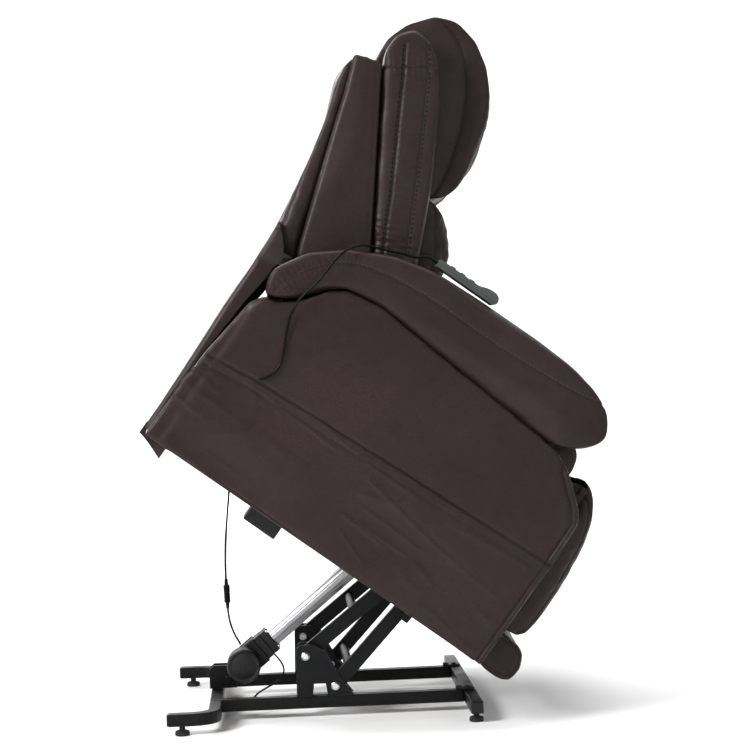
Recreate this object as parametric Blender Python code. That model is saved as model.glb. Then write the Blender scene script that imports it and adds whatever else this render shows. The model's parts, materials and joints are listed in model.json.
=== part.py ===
"""Lift recliner chair, raised to its standing-assist pose.

World frame: metres, +Z up, +X the way the sitter faces, +Y the sitter's left.
The chair proper is drawn level, in its own frame: x forward and z up from the rear bottom
corner of its arms. An empty then tilts it and carries it on the lift linkage.
"""

import math

import bmesh
import bpy
from mathutils import Vector

# ---------------------------------------------------------------- driving dimensions
GAP = 0.0003
SIDES = (("left", 1), ("right", -1))

ORIGIN_X = 0.0089  # shifts everything, so that the box is centred on X = 0

# Base frame
TUBE = 0.025
RAIL_Y = 0.1485
RAIL_BOTTOM = 0.019
RAIL_TOP = RAIL_BOTTOM + TUBE
RAIL_REAR_X = -0.360
FRONT_BAR_X = 0.179
FRONT_BAR_HALF = 0.300
FRONT_FOOT_Y = 0.275
REAR_FOOT = (-0.412, 0.287)
REAR_END_X = -0.440
BEND_RADIUS = 0.042
FOOT_RADIUS = 0.015
STEM_RADIUS = 0.006

# Lift linkage, side view: pivots as (x, z), angles above horizontal
TILT_DEG = 36.7
LOWER_PIVOT = (-0.100, 0.064)
LOWER_ANGLE_DEG = 47.0
LOWER_LENGTH = 0.3522
UPPER_PIVOT = (-0.160, 0.128)
UPPER_ANGLE_DEG = 38.0
UPPER_LENGTH = 0.375
LINK_HALF_WIDTH = 0.015
LOWER_LINK_Y = (0.142, 0.156)
UPPER_LINK_Y = (0.126, 0.140)
CROSS_TUBE_RADIUS = 0.010
BOLT_RADIUS = 0.005
BOLT_HOLE_RADIUS = 0.0056
HEAD_RADIUS = 0.0095

# The chair's own frame: where the linkage meets it
CHAIR_LOWER_PIVOT = (0.6428, 0.1294)
CHAIR_UPPER_PIVOT = (0.6167, 0.1565)
OPEN_PIVOT_HOLE = 0.0098
ROD_POINT = (0.571, 0.228)
ROD_SLOT_RADIUS = 0.0205
RECLINE_PIVOT = (0.140, 0.330)
FOOTREST_PIVOT = (0.780, 0.396)

# Actuator: distances along its axis from the motor pin
MOTOR_PIVOT = (-0.325, 0.066)
ACTUATOR_ANGLE_DEG = 39.0
ACTUATOR_LENGTH = 0.600
ACTUATOR_TUBE_RADIUS = 0.019
TUBE_START = 0.126
TUBE_END = 0.450
ROD_RADIUS = 0.010
MOTOR_S = 0.048
MOTOR_RADIUS = 0.036
MOTOR_Y = (-0.082, -0.029)

# Upholstery
ARM_BODY_Y = (0.275, 0.390)
ARM_PAD_Y = (0.270, 0.405)
SEAT_HALF = 0.262
BACK_HALF = 0.262
PILLOW_HALF = 0.196
FLAP_HALF = 0.345


# ---------------------------------------------------------------- materials
def material(name, color, roughness, metallic=0.0):
    made = bpy.data.materials.new(name)
    made.use_nodes = True
    shader = made.node_tree.nodes["Principled BSDF"]
    shader.inputs["Base Color"].default_value = (*color, 1.0)
    shader.inputs["Roughness"].default_value = roughness
    shader.inputs["Metallic"].default_value = metallic
    made.diffuse_color = (*color, 1.0)
    return made


# ---------------------------------------------------------------- bodies
class Body:
    """An empty on a joint's axis. Its pieces are drawn in a frame whose point `pivot` it stands on."""

    def __init__(self, name, at, pivot=(0.0, 0.0), turn_deg=0.0, parent=None):
        self.pivot = Vector((pivot[0], 0.0, pivot[1]))
        self.empty = bpy.data.objects.new(name, None)
        bpy.context.scene.collection.objects.link(self.empty)
        self.empty.location = (at[0], 0.0, at[1])
        self.empty.rotation_euler = (0.0, math.radians(turn_deg), 0.0)
        self.empty.parent = parent.empty if parent else None


def polar(point, angle_deg, length):
    angle = math.radians(angle_deg)
    return (point[0] + length * math.cos(angle), point[1] + length * math.sin(angle))


def offset(point, origin):
    return (point[0] - origin[0], point[1] - origin[1])


# ---------------------------------------------------------------- mesh helpers
def add(name, bm, body, finish, bevel=0.0, segments=2, smooth=False):
    """Makes a named object from a bmesh drawn in the frame of its body."""
    bmesh.ops.recalc_face_normals(bm, faces=bm.faces)
    mesh = bpy.data.meshes.new(name)
    bm.to_mesh(mesh)
    bm.free()
    mesh.materials.append(finish)
    if smooth:
        mesh.shade_smooth()
        mesh.set_sharp_from_angle(angle=math.radians(35))
    obj = bpy.data.objects.new(name, mesh)
    bpy.context.scene.collection.objects.link(obj)
    obj.parent = body.empty
    obj.location = -body.pivot
    if bevel:
        rounding = obj.modifiers.new("Rounding", "BEVEL")
        rounding.width = bevel
        rounding.segments = segments
        rounding.limit_method = "ANGLE"
        rounding.angle_limit = math.radians(30)
    return obj


def prism(outline, low_y, high_y, bm=None):
    """A closed solid: an (x, z) outline pushed along Y."""
    bm = bm or bmesh.new()
    rings = [[bm.verts.new((x, y, z)) for x, z in outline] for y in (low_y, high_y)]
    bm.faces.new(rings[0])
    bm.faces.new(reversed(rings[1]))
    count = len(outline)
    for i in range(count):
        j = (i + 1) % count
        bm.faces.new((rings[0][i], rings[1][i], rings[1][j], rings[0][j]))
    return bm


def slab(outline, low_z, high_z):
    """A closed solid: an (x, y) outline pushed along Z."""
    bm = bmesh.new()
    rings = [[bm.verts.new((x, y, z)) for x, y in outline] for z in (low_z, high_z)]
    bm.faces.new(rings[0])
    bm.faces.new(reversed(rings[1]))
    count = len(outline)
    for i in range(count):
        j = (i + 1) % count
        bm.faces.new((rings[0][i], rings[1][i], rings[1][j], rings[0][j]))
    return bm


def box(x, y, z):
    return prism([(x[0], z[0]), (x[1], z[0]), (x[1], z[1]), (x[0], z[1])], y[0], y[1])


def lathe(start, direction, profile, segments=20):
    """A closed turned solid along `direction` from `start`: (distance, radius) points, and a
    radius of zero closes an end. A profile that ends where it began makes a ring."""
    axis = Vector(direction).normalized()
    side = axis.orthogonal().normalized()
    across = axis.cross(side)
    start = Vector(start)
    bm = bmesh.new()
    ring = profile[0] == profile[-1]
    rows = []
    for distance, radius in profile[:-1] if ring else profile:
        centre = start + axis * distance
        if radius == 0.0:
            rows.append([bm.verts.new(centre)])
            continue
        turns = [2 * math.pi * k / segments for k in range(segments)]
        rows.append([bm.verts.new(centre + radius * (math.cos(t) * side + math.sin(t) * across)) for t in turns])
    if ring:
        rows.append(rows[0])
    for low, high in zip(rows, rows[1:]):
        for k in range(segments):
            n = (k + 1) % segments
            corners = [low[k % len(low)], low[n % len(low)], high[n % len(high)], high[k % len(high)]]
            bm.faces.new(list(dict.fromkeys(corners)))
    return bm


def rod(start, end, radius, segments=20):
    start, end = Vector(start), Vector(end)
    length = (end - start).length
    profile = [(0.0, 0.0), (0.0, radius), (length, radius), (length, 0.0)]
    return lathe(start, end - start, profile, segments)


def rod_along_y(point, low_y, high_y, radius, segments=20):
    return rod((point[0], low_y, point[1]), (point[0], high_y, point[1]), radius, segments)


def combine(obj, bm, operation, tag):
    """Joins a shape to an object, or cuts it away, with an EXACT Boolean."""
    bmesh.ops.recalc_face_normals(bm, faces=bm.faces)
    mesh = bpy.data.meshes.new(f"{obj.name}_{tag}")
    bm.to_mesh(mesh)
    bm.free()
    tool = bpy.data.objects.new(f"{obj.name}_{tag}", mesh)
    bpy.context.scene.collection.objects.link(tool)
    tool.parent = obj.parent
    tool.location = obj.location
    tool.hide_render = True
    tool.display_type = "WIRE"
    step = obj.modifiers.new(tag, "BOOLEAN")
    step.operation = operation
    step.solver = "EXACT"
    step.object = tool


def capsule(x0, x1, half, points=6):
    """An outline along x with round ends, centred on z = 0: its end centres are x0 and x1."""
    turns = [math.pi * k / points for k in range(points + 1)]
    front = [(x1 + half * math.sin(t), -half * math.cos(t)) for t in turns]
    rear = [(x0 - half * math.sin(t), half * math.cos(t)) for t in turns]
    return front + rear


def both(low, high, sign):
    """A pair of Y values on one side of the chair, in rising order."""
    return (low, high) if sign > 0 else (-high, -low)


# ---------------------------------------------------------------- base frame
def base_rails(body, steel):
    front = FRONT_BAR_X - TUBE / 2 - GAP
    for side, sign in SIDES:
        y = both(RAIL_Y - TUBE / 2, RAIL_Y + TUBE / 2, sign)
        add(f"rail_{side}", box((RAIL_REAR_X, front), y, (RAIL_BOTTOM, RAIL_TOP)), body, steel, 0.002)
    x = (FRONT_BAR_X - TUBE / 2, FRONT_BAR_X + TUBE / 2)
    y = (-FRONT_BAR_HALF, FRONT_BAR_HALF)
    add("front_bar", box(x, y, (RAIL_BOTTOM, RAIL_TOP)), body, steel, 0.002)
    inner = RAIL_Y - TUBE / 2 - GAP
    x = (RAIL_REAR_X, RAIL_REAR_X + TUBE)
    add("rear_bar", box(x, (-inner, inner), (RAIL_BOTTOM, RAIL_TOP)), body, steel, 0.002)


def outrigger_outline(sign):
    """Plan of a rear outrigger: out sideways from the rail, then round a bend and rearward."""
    x_in = RAIL_REAR_X + TUBE / 2
    y_start = RAIL_Y + TUBE / 2 + GAP
    centre = (x_in - BEND_RADIUS, REAR_FOOT[1] - BEND_RADIUS)
    turns = [math.radians(90 * k / 6) for k in range(7)]
    path = []
    for radius in (BEND_RADIUS + TUBE / 2, BEND_RADIUS - TUBE / 2):
        arc = [(centre[0] + radius * math.cos(t), centre[1] + radius * math.sin(t)) for t in turns]
        edge = [(centre[0] + radius, y_start)] + arc + [(REAR_END_X, centre[1] + radius)]
        path += edge if radius > BEND_RADIUS else edge[::-1]
    return [(x, sign * y) for x, y in path]


def rear_outriggers(body, steel):
    for side, sign in SIDES:
        solid = slab(outrigger_outline(sign), RAIL_BOTTOM, RAIL_TOP)
        add(f"rear_outrigger_{side}", solid, body, steel, 0.002)


def levelling_feet(body, rubber):
    top = RAIL_BOTTOM - GAP
    profile = [
        (0.0, 0.0),
        (0.0, FOOT_RADIUS - 0.002),
        (0.002, FOOT_RADIUS),
        (0.009, FOOT_RADIUS - 0.001),
        (0.011, STEM_RADIUS + 0.002),
        (0.011, STEM_RADIUS),
        (top, STEM_RADIUS),
        (top, 0.0),
    ]
    spots = {"front": (FRONT_BAR_X, FRONT_FOOT_Y), "rear": REAR_FOOT}
    for end, (x, y) in spots.items():
        for side, sign in SIDES:
            solid = lathe((x, sign * y, 0.0), (0, 0, 1), profile, 18)
            add(f"foot_{end}_{side}", solid, body, rubber, smooth=True)


BRACKET_OUTLINE = [
    (-0.180, RAIL_TOP + GAP),
    (-0.147, RAIL_TOP + GAP),
    (-0.144, 0.070),
    (-0.120, 0.070),
    (-0.116, RAIL_TOP + GAP),
    (-0.061, RAIL_TOP + GAP),
    (-0.093, 0.086),
    (-0.119, 0.136),
    (-0.142, 0.151),
    (-0.170, 0.151),
    (-0.178, 0.144),
]
BRACKET_OUTER_Y = (0.1585, 0.1635)
BRACKET_INNER_Y = (0.1185, 0.1235)


def pivot_brackets(body, steel):
    """Each carries the two links between an outer and an inner plate, tied by a strip on the rail."""
    for side, sign in SIDES:
        outer = prism(BRACKET_OUTLINE, *both(*BRACKET_OUTER_Y, sign))
        obj = add(f"pivot_bracket_{side}", outer, body, steel)
        inner = prism(BRACKET_OUTLINE, *both(*BRACKET_INNER_Y, sign))
        combine(obj, inner, "UNION", "inner_plate")
        low, high = BRACKET_INNER_Y[0] + 0.001, BRACKET_OUTER_Y[1] - 0.001
        for tag, x in (("rear_strip", (-0.179, -0.148)), ("front_strip", (-0.115, -0.065))):
            strip = box(x, both(low, high, sign), (RAIL_TOP + 2 * GAP, RAIL_TOP + 0.0045))
            combine(obj, strip, "UNION", tag)
        for tag, point in (("upper_hole", UPPER_PIVOT), ("lower_hole", LOWER_PIVOT)):
            hole = rod_along_y(point, *both(0.110, 0.175, sign), BOLT_HOLE_RADIUS, 16)
            combine(obj, hole, "DIFFERENCE", tag)


def pivot_bolts(body, zinc):
    """Shouldered bolts, head outboard, nut inboard."""
    inside = BRACKET_INNER_Y[0] - GAP
    outside = BRACKET_OUTER_Y[1] + GAP
    profile = [
        (0.0, 0.0),
        (0.0, HEAD_RADIUS - 0.002),
        (0.006, HEAD_RADIUS - 0.001),
        (0.006, BOLT_RADIUS),
        (outside - inside + 0.006, BOLT_RADIUS),
        (outside - inside + 0.006, HEAD_RADIUS),
        (outside - inside + 0.0095, HEAD_RADIUS - 0.001),
        (outside - inside + 0.012, HEAD_RADIUS - 0.004),
        (outside - inside + 0.012, 0.0),
    ]
    for level, point in (("upper", UPPER_PIVOT), ("lower", LOWER_PIVOT)):
        for side, sign in SIDES:
            start = (point[0], sign * (inside - 0.006), point[1])
            solid = lathe(start, (0, sign, 0), profile, 18)
            add(f"{level}_pivot_bolt_{side}", solid, body, zinc, smooth=True)


MOTOR_EAR_Y = (0.0125, 0.0175)


def motor_bracket(body, steel):
    """Two ears on a foot plate that stands on the rear bar, with the motor's pin through them."""
    x, z = MOTOR_PIVOT
    foot = RAIL_TOP + GAP
    ear = [
        (RAIL_REAR_X - 0.004, foot),
        (x + 0.019, foot),
        (x + 0.019, z + 0.020),
        (x + 0.012, z + 0.027),
        (RAIL_REAR_X + 0.006, z + 0.027),
        (RAIL_REAR_X - 0.004, z + 0.018),
    ]
    obj = add("motor_bracket", prism(ear, *MOTOR_EAR_Y), body, steel)
    combine(obj, prism(ear, -MOTOR_EAR_Y[1], -MOTOR_EAR_Y[0]), "UNION", "right_ear")
    plate = box((RAIL_REAR_X - 0.003, RAIL_REAR_X + 0.016), (-0.017, 0.017), (foot + GAP, z + 0.017))
    combine(obj, plate, "UNION", "back_plate")
    pin = rod_along_y(MOTOR_PIVOT, -MOTOR_EAR_Y[1] - 0.008, MOTOR_EAR_Y[1] + 0.008, BOLT_RADIUS, 18)
    combine(obj, pin, "UNION", "motor_pin")


SOCKET_X = (-0.327, -0.2925)


def power_socket(body, plastic):
    """Small inlet box on the right rail's inner face."""
    inner = RAIL_Y - TUBE / 2 - GAP
    add("power_socket", box(SOCKET_X, (-inner, -inner + 0.019), (0.020, 0.041)), body, plastic, 0.002)


# ---------------------------------------------------------------- lift linkage
def links(level, body, length, y, tube_at, tube_half, steel):
    """Two links, drawn along x from their base pivot, with a welded stud for the chair's lug,
    and the cross tube that ties them."""
    for side, sign in SIDES:
        bar = prism(capsule(0.0, length, LINK_HALF_WIDTH), *both(*y, sign))
        obj = add(f"{level}_link_{side}", bar, body, steel)
        hole = rod_along_y((0.0, 0.0), *both(y[0] - 0.004, y[1] + 0.004, sign), BOLT_HOLE_RADIUS, 16)
        combine(obj, hole, "DIFFERENCE", "bolt_hole")
        stud = rod_along_y((length, 0.0), *both(y[1] - 0.003, 0.1800, sign), BOLT_RADIUS, 16)
        combine(obj, stud, "UNION", "stud")
    ends = tube_half - GAP
    tube = rod_along_y((tube_at, 0.0), -ends, ends, CROSS_TUBE_RADIUS, 18)
    add(f"{level}_link_tube", tube, body, steel, smooth=True)


# ---------------------------------------------------------------- actuator
def actuator(body, aluminium, plastic):
    """Drawn along x from the motor pin, lying level."""
    casing = [
        (0.031, -0.018),
        (0.046, -0.030),
        (0.094, -0.030),
        (0.094, 0.028),
        (0.040, 0.028),
        (0.031, 0.020),
    ]
    half = -MOTOR_Y[1] - GAP
    gearbox = add("gearbox", prism(casing, -half, half), body, plastic)
    eye = capsule(0.0, 0.040, 0.0115)
    combine(gearbox, prism(eye, -MOTOR_EAR_Y[0] + 0.001, MOTOR_EAR_Y[0] - 0.001), "UNION", "eye")
    flange = box((0.0925, TUBE_START), (-0.027, 0.027), (-0.027, 0.027))
    combine(gearbox, flange, "UNION", "flange")
    hole = rod_along_y((0.0, 0.0), -0.05, 0.05, BOLT_HOLE_RADIUS, 16)
    combine(gearbox, hole, "DIFFERENCE", "pin_hole")
    length = MOTOR_Y[1] - MOTOR_Y[0] - GAP
    profile = [
        (0.0, 0.0),
        (0.0, MOTOR_RADIUS - 0.003),
        (0.003, MOTOR_RADIUS),
        (length, MOTOR_RADIUS),
        (length, 0.0),
    ]
    motor = lathe((MOTOR_S, MOTOR_Y[0], 0.002), (0, 1, 0), profile, 32)
    add("motor", motor, body, plastic, smooth=True)
    tube_length = TUBE_END - TUBE_START - GAP
    bore = ROD_RADIUS + 0.0015
    profile = [
        (0.0, 0.0),
        (0.0, ACTUATOR_TUBE_RADIUS),
        (tube_length, ACTUATOR_TUBE_RADIUS),
        (tube_length, bore),
        (tube_length - 0.190, bore),
        (tube_length - 0.190, 0.0),
    ]
    tube = lathe((TUBE_START + GAP, 0.0, 0.0), (1, 0, 0), profile, 28)
    add("actuator_tube", tube, body, aluminium, smooth=True)


def actuator_rod(body, zinc):
    """Plain rod with an eye block and a cross pin, drawn back along x from the chair's bracket."""
    shaft = rod((TUBE_END - 0.110, 0.0, 0.0), (ACTUATOR_LENGTH - 0.006, 0.0, 0.0), ROD_RADIUS, 20)
    obj = add("actuator_rod", shaft, body, zinc)
    eye = rod_along_y((ACTUATOR_LENGTH, 0.0), -0.0115, 0.0115, 0.0135, 20)
    combine(obj, eye, "UNION", "eye")
    pin = rod_along_y((ACTUATOR_LENGTH, 0.0), -0.025, 0.025, BOLT_RADIUS, 16)
    combine(obj, pin, "UNION", "pin")


# ---------------------------------------------------------------- chair frame
FRAME_RAIL_Y = (0.166, 0.191)
LUG_Y = (0.1605, 0.1675)
FRAME_RAIL = [(0.095, 0.100), (0.700, 0.175), (0.700, 0.200), (0.095, 0.125)]
LUG = [
    (0.590, 0.185),
    (0.590, 0.140),
    (0.622, 0.108),
    (0.634, -0.031),
    (0.652, -0.031),
    (0.664, 0.108),
    (0.676, 0.150),
    (0.676, 0.195),
]
REAR_CROSS = ((0.097, 0.122), (0.1287, 0.1537))
FRONT_CROSS = ((0.607, 0.632), (0.1925, 0.2175))


def frame_rails(body, steel):
    """Slanting side rails of the seat frame, each with the lug that the links carry."""
    for side, sign in SIDES:
        obj = add(f"frame_rail_{side}", prism(FRAME_RAIL, *both(*FRAME_RAIL_Y, sign)), body, steel)
        combine(obj, prism(LUG, *both(*LUG_Y, sign)), "UNION", "lug")
        for tag, point, radius in (
            ("lower_hole", CHAIR_LOWER_PIVOT, BOLT_HOLE_RADIUS),
            ("upper_hole", CHAIR_UPPER_PIVOT, OPEN_PIVOT_HOLE),
        ):
            hole = rod_along_y(point, *both(0.150, 0.200, sign), radius, 20)
            combine(obj, hole, "DIFFERENCE", tag)


def cross_tubes(body, steel):
    half = ARM_BODY_Y[0] - GAP
    for name, (x, z) in (("rear_cross_tube", REAR_CROSS), ("front_cross_tube", FRONT_CROSS)):
        add(name, box(x, (-half, half), z), body, steel, 0.002)


def rod_bracket(body, steel):
    """Two ears on the front cross tube, slotted for the actuator's cross pin."""
    back = FRONT_CROSS[0][0] - GAP
    ear = [(0.541, 0.200), (back, 0.194), (back, 0.258), (0.541, 0.256)]
    obj = add("rod_bracket", prism(ear, 0.0165, 0.0215), body, steel)
    combine(obj, prism(ear, -0.0215, -0.0165), "UNION", "right_ear")
    web = box((back - 0.005, back - GAP), (-0.021, 0.021), (0.1945, 0.2575))
    combine(obj, web, "UNION", "web")
    hole = rod_along_y(ROD_POINT, -0.030, 0.030, ROD_SLOT_RADIUS, 24)
    combine(obj, hole, "DIFFERENCE", "slot")


def control_box(body, plastic):
    add("control_box", box((0.245, 0.320), (-0.2745, -0.190), (-0.036, 0.020)), body, plastic, 0.003)


def seat_boards(body, wood):
    add("seat_deck", box((0.212, 0.746), (-SEAT_HALF, SEAT_HALF), (0.272, 0.290)), body, wood, 0.002)
    add("front_board", box((0.747, 0.763), (-SEAT_HALF, SEAT_HALF), (0.060, 0.290)), body, wood, 0.002)


# ---------------------------------------------------------------- arms
ARM_UNDERSIDE = [
    (0.716, 0.468),
    (0.668, 0.434),
    (0.232, 0.467),
    (0.158, 0.456),
    (0.127, 0.434),
    (0.090, 0.385),
    (0.055, 0.358),
]
ARM_CROWN = [
    (0.030, 0.356),
    (0.013, 0.411),
    (0.052, 0.477),
    (0.112, 0.529),
    (0.203, 0.572),
    (0.286, 0.591),
    (0.433, 0.591),
    (0.579, 0.591),
    (0.655, 0.580),
    (0.710, 0.556),
    (0.736, 0.520),
    (0.735, 0.490),
]
ARM_REAR = [(-0.010, 0.000), (-0.004, 0.197), (0.002, 0.241), (0.012, 0.327), (0.030, 0.353)]
ARM_FRONT = [(0.718, 0.408), (0.774, 0.360), (0.791, 0.335), (0.793, 0.235), (0.789, 0.000)]


def arms(body, leather):
    top = [(x, z - 0.002) for x, z in reversed(ARM_UNDERSIDE[1:])]
    outline = ARM_REAR + top + ARM_FRONT
    for side, sign in SIDES:
        add(f"arm_body_{side}", prism(outline, *both(*ARM_BODY_Y, sign)), body, leather, 0.004)
        pad = prism(ARM_CROWN + ARM_UNDERSIDE, *both(*ARM_PAD_Y, sign))
        add(f"arm_pad_{side}", pad, body, leather, 0.012, 3)


# ---------------------------------------------------------------- seat, back flap
def seat_cushion(body, leather):
    outline = [
        (0.212, 0.292),
        (0.748, 0.292),
        (0.757, 0.330),
        (0.757, 0.425),
        (0.749, 0.462),
        (0.728, 0.483),
        (0.690, 0.484),
        (0.640, 0.470),
        (0.212, 0.440),
    ]
    add("seat_cushion", prism(outline, -SEAT_HALF, SEAT_HALF), body, leather, 0.014, 3)


def back_flap(body, leather):
    """Loose cover from the foot of the back down to the bottom of the chair."""
    outer = [(-0.026, 0.434), (-0.025, 0.300), (-0.021, 0.190), (-0.018, 0.090), (-0.019, 0.002)]
    inner = [(x + 0.004, z) for x, z in reversed(outer)]
    add("back_flap", prism(outer + inner, -FLAP_HALF, FLAP_HALF), body, leather)


# ---------------------------------------------------------------- backrest
BACK_TOP = Vector((-0.045, 0.876))
BACK_BEND = Vector((0.151, 0.552))


def on_back(along, height):
    """A point in front of the back shell: 0 to 1 down its front face, and a height off it."""
    run = BACK_BEND - BACK_TOP
    normal = Vector((-run.y, run.x)).normalized()
    return tuple(BACK_TOP + along * run + height * normal)


SHELL = [
    (-0.103, 0.858),
    (-0.076, 0.787),
    (-0.044, 0.688),
    (-0.011, 0.588),
    (0.030, 0.467),
    (0.058, 0.372),
    (0.096, 0.318),
    (0.190, 0.318),
    (0.202, 0.380),
    (0.195, 0.470),
    tuple(BACK_BEND),
    tuple(BACK_TOP),
]
OUTSIDE_BACK = [
    (-0.108, 0.858),
    (-0.113, 0.819),
    (-0.104, 0.788),
    (-0.073, 0.716),
    (-0.054, 0.639),
    (-0.042, 0.570),
    (-0.031, 0.500),
    (-0.026, 0.440),
    (0.037, 0.440),
    (0.028, 0.466),
    (-0.013, 0.587),
    (-0.046, 0.687),
    (-0.078, 0.786),
]
PILLOW = [
    on_back(0.60, 0.002),
    (0.205, 0.730),
    (0.223, 0.745),
    (0.228, 0.775),
    (0.226, 0.815),
    (0.215, 0.865),
    (0.197, 0.924),
    (0.172, 0.970),
    (0.138, 1.006),
    (0.090, 1.034),
    (0.034, 1.046),
    (-0.012, 1.028),
    (-0.050, 0.986),
    (-0.069, 0.938),
    (-0.067, 0.905),
    on_back(0.00, 0.003),
]
LUMBAR = [
    on_back(0.62, 0.002),
    on_back(1.00, 0.002),
    (0.196, 0.490),
    (0.288, 0.520),
    (0.306, 0.555),
    (0.300, 0.620),
    (0.281, 0.658),
    (0.260, 0.687),
    (0.234, 0.712),
    (0.205, 0.722),
]
LOWER_CUSHION = [(0.200, 0.466), (0.300, 0.466), (0.333, 0.476), (0.337, 0.500), (0.304, 0.518), (0.200, 0.487)]
BOLSTER = [
    on_back(0.00, 0.002),
    on_back(1.00, 0.002),
    (0.197, 0.468),
    (0.276, 0.468),
    (0.264, 0.534),
    (0.232, 0.610),
    (0.173, 0.741),
    (0.094, 0.882),
    (0.048, 0.943),
    (0.012, 0.969),
    (-0.030, 0.971),
    (-0.055, 0.940),
    (-0.056, 0.892),
]


def backrest(body, leather):
    shell = add("back_shell", prism(SHELL, -BACK_HALF, BACK_HALF), body, leather, 0.003)
    reach = ARM_BODY_Y[0] - GAP
    combine(shell, rod_along_y(RECLINE_PIVOT, -reach, reach, 0.010, 18), "UNION", "pivot_studs")
    add("outside_back", prism(OUTSIDE_BACK, -BACK_HALF + 0.004, BACK_HALF - 0.004), body, leather, 0.006)
    for name, outline in (("head_pillow", PILLOW), ("lumbar_cushion", LUMBAR), ("lower_back_cushion", LOWER_CUSHION)):
        add(name, prism(outline, -PILLOW_HALF, PILLOW_HALF), body, leather, 0.010, 3)
    for side, sign in SIDES:
        solid = prism(BOLSTER, *both(PILLOW_HALF + 0.003, BACK_HALF, sign))
        add(f"side_bolster_{side}", solid, body, leather, 0.012, 3)


# ---------------------------------------------------------------- footrest
FOOT_PAD = [
    (0.7895, 0.075),
    (0.840, 0.075),
    (0.856, 0.090),
    (0.863, 0.125),
    (0.863, 0.185),
    (0.859, 0.245),
    (0.852, 0.302),
    (0.845, 0.338),
    (0.833, 0.370),
    (0.814, 0.394),
    (0.7895, 0.410),
]
TOE_PAD = [
    (0.7895, 0.0735),
    (0.850, 0.0735),
    (0.872, 0.062),
    (0.883, 0.029),
    (0.878, -0.004),
    (0.858, -0.016),
    (0.812, -0.016),
    (0.7895, -0.004),
]


def footrest(body, leather):
    board = add("footrest_board", box((0.773, 0.789), (-SEAT_HALF, SEAT_HALF), (0.002, 0.406)), body, leather, 0.002)
    reach = ARM_BODY_Y[0] - GAP
    combine(board, rod_along_y(FOOTREST_PIVOT, -reach, reach, 0.0055, 16), "UNION", "pivot_studs")
    add("footrest_pad", prism(FOOT_PAD, -SEAT_HALF, SEAT_HALF), body, leather, 0.010, 3)
    add("toe_pad", prism(TOE_PAD, -SEAT_HALF, SEAT_HALF), body, leather, 0.008, 3)


# ---------------------------------------------------------------- handset
HANDSET_Y = (-0.355, -0.305)
HANDSET_TOP = 0.6115
BUTTON_X = (0.303, 0.326, 0.349)
BUTTON_RADIUS = 0.0065
BUTTON_Y = -0.330


def handset(body, plastic, key):
    outline = [
        (0.271, 0.5945),
        (0.408, 0.5945),
        (0.414, 0.602),
        (0.404, 0.620),
        (0.375, HANDSET_TOP + 0.006),
        (0.364, HANDSET_TOP),
        (0.271, HANDSET_TOP),
    ]
    obj = add("handset", prism(outline, *HANDSET_Y), body, plastic, 0.0025)
    gland = rod((0.2615, BUTTON_Y, 0.6035), (0.276, BUTTON_Y, 0.6035), 0.0045, 12)
    combine(obj, gland, "UNION", "gland")
    for number, x in enumerate(BUTTON_X, 1):
        recess = rod((x, BUTTON_Y, HANDSET_TOP - 0.005), (x, BUTTON_Y, 0.630), BUTTON_RADIUS + 0.0006, 20)
        combine(obj, recess, "DIFFERENCE", f"recess_{number}")
        low = HANDSET_TOP - 0.003
        profile = [(0.0, 0.0), (0.0, BUTTON_RADIUS), (0.005, BUTTON_RADIUS), (0.0062, 0.004), (0.0062, 0.0)]
        cap = lathe((x, BUTTON_Y, low), (0, 0, 1), profile, 18)
        add(f"handset_button_{number}", cap, body, key, smooth=True)


# ---------------------------------------------------------------- cords
def smooth_route(points, spacing):
    """Catmull-Rom curve through hand-chosen points, read at about even spacing."""
    points = [Vector(p) for p in points]
    padded = [2 * points[0] - points[1]] + points + [2 * points[-1] - points[-2]]
    route = []
    for a, b, c, d in zip(padded, padded[1:], padded[2:], padded[3:]):
        steps = max(1, round((c - b).length / spacing))
        for k in range(steps):
            t = k / steps
            route.append(0.5 * (2 * b + (c - a) * t + (2 * a - 5 * b + 4 * c - d) * t**2 + (3 * b - a - 3 * c + d) * t**3))
    route.append(points[-1])
    return route


def cord(name, route, diameter, body, finish):
    curve = bpy.data.curves.new(name, "CURVE")
    curve.dimensions = "3D"
    curve.bevel_depth = diameter / 2
    curve.bevel_resolution = 2
    curve.use_fill_caps = True
    spline = curve.splines.new("POLY")
    spline.points.add(len(route) - 1)
    for place, point in zip(spline.points, route):
        place.co = (*point, 1.0)
    curve.materials.append(finish)
    obj = bpy.data.objects.new(name, curve)
    bpy.context.scene.collection.objects.link(obj)
    obj.parent = body.empty
    obj.location = -body.pivot
    return obj


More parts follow.
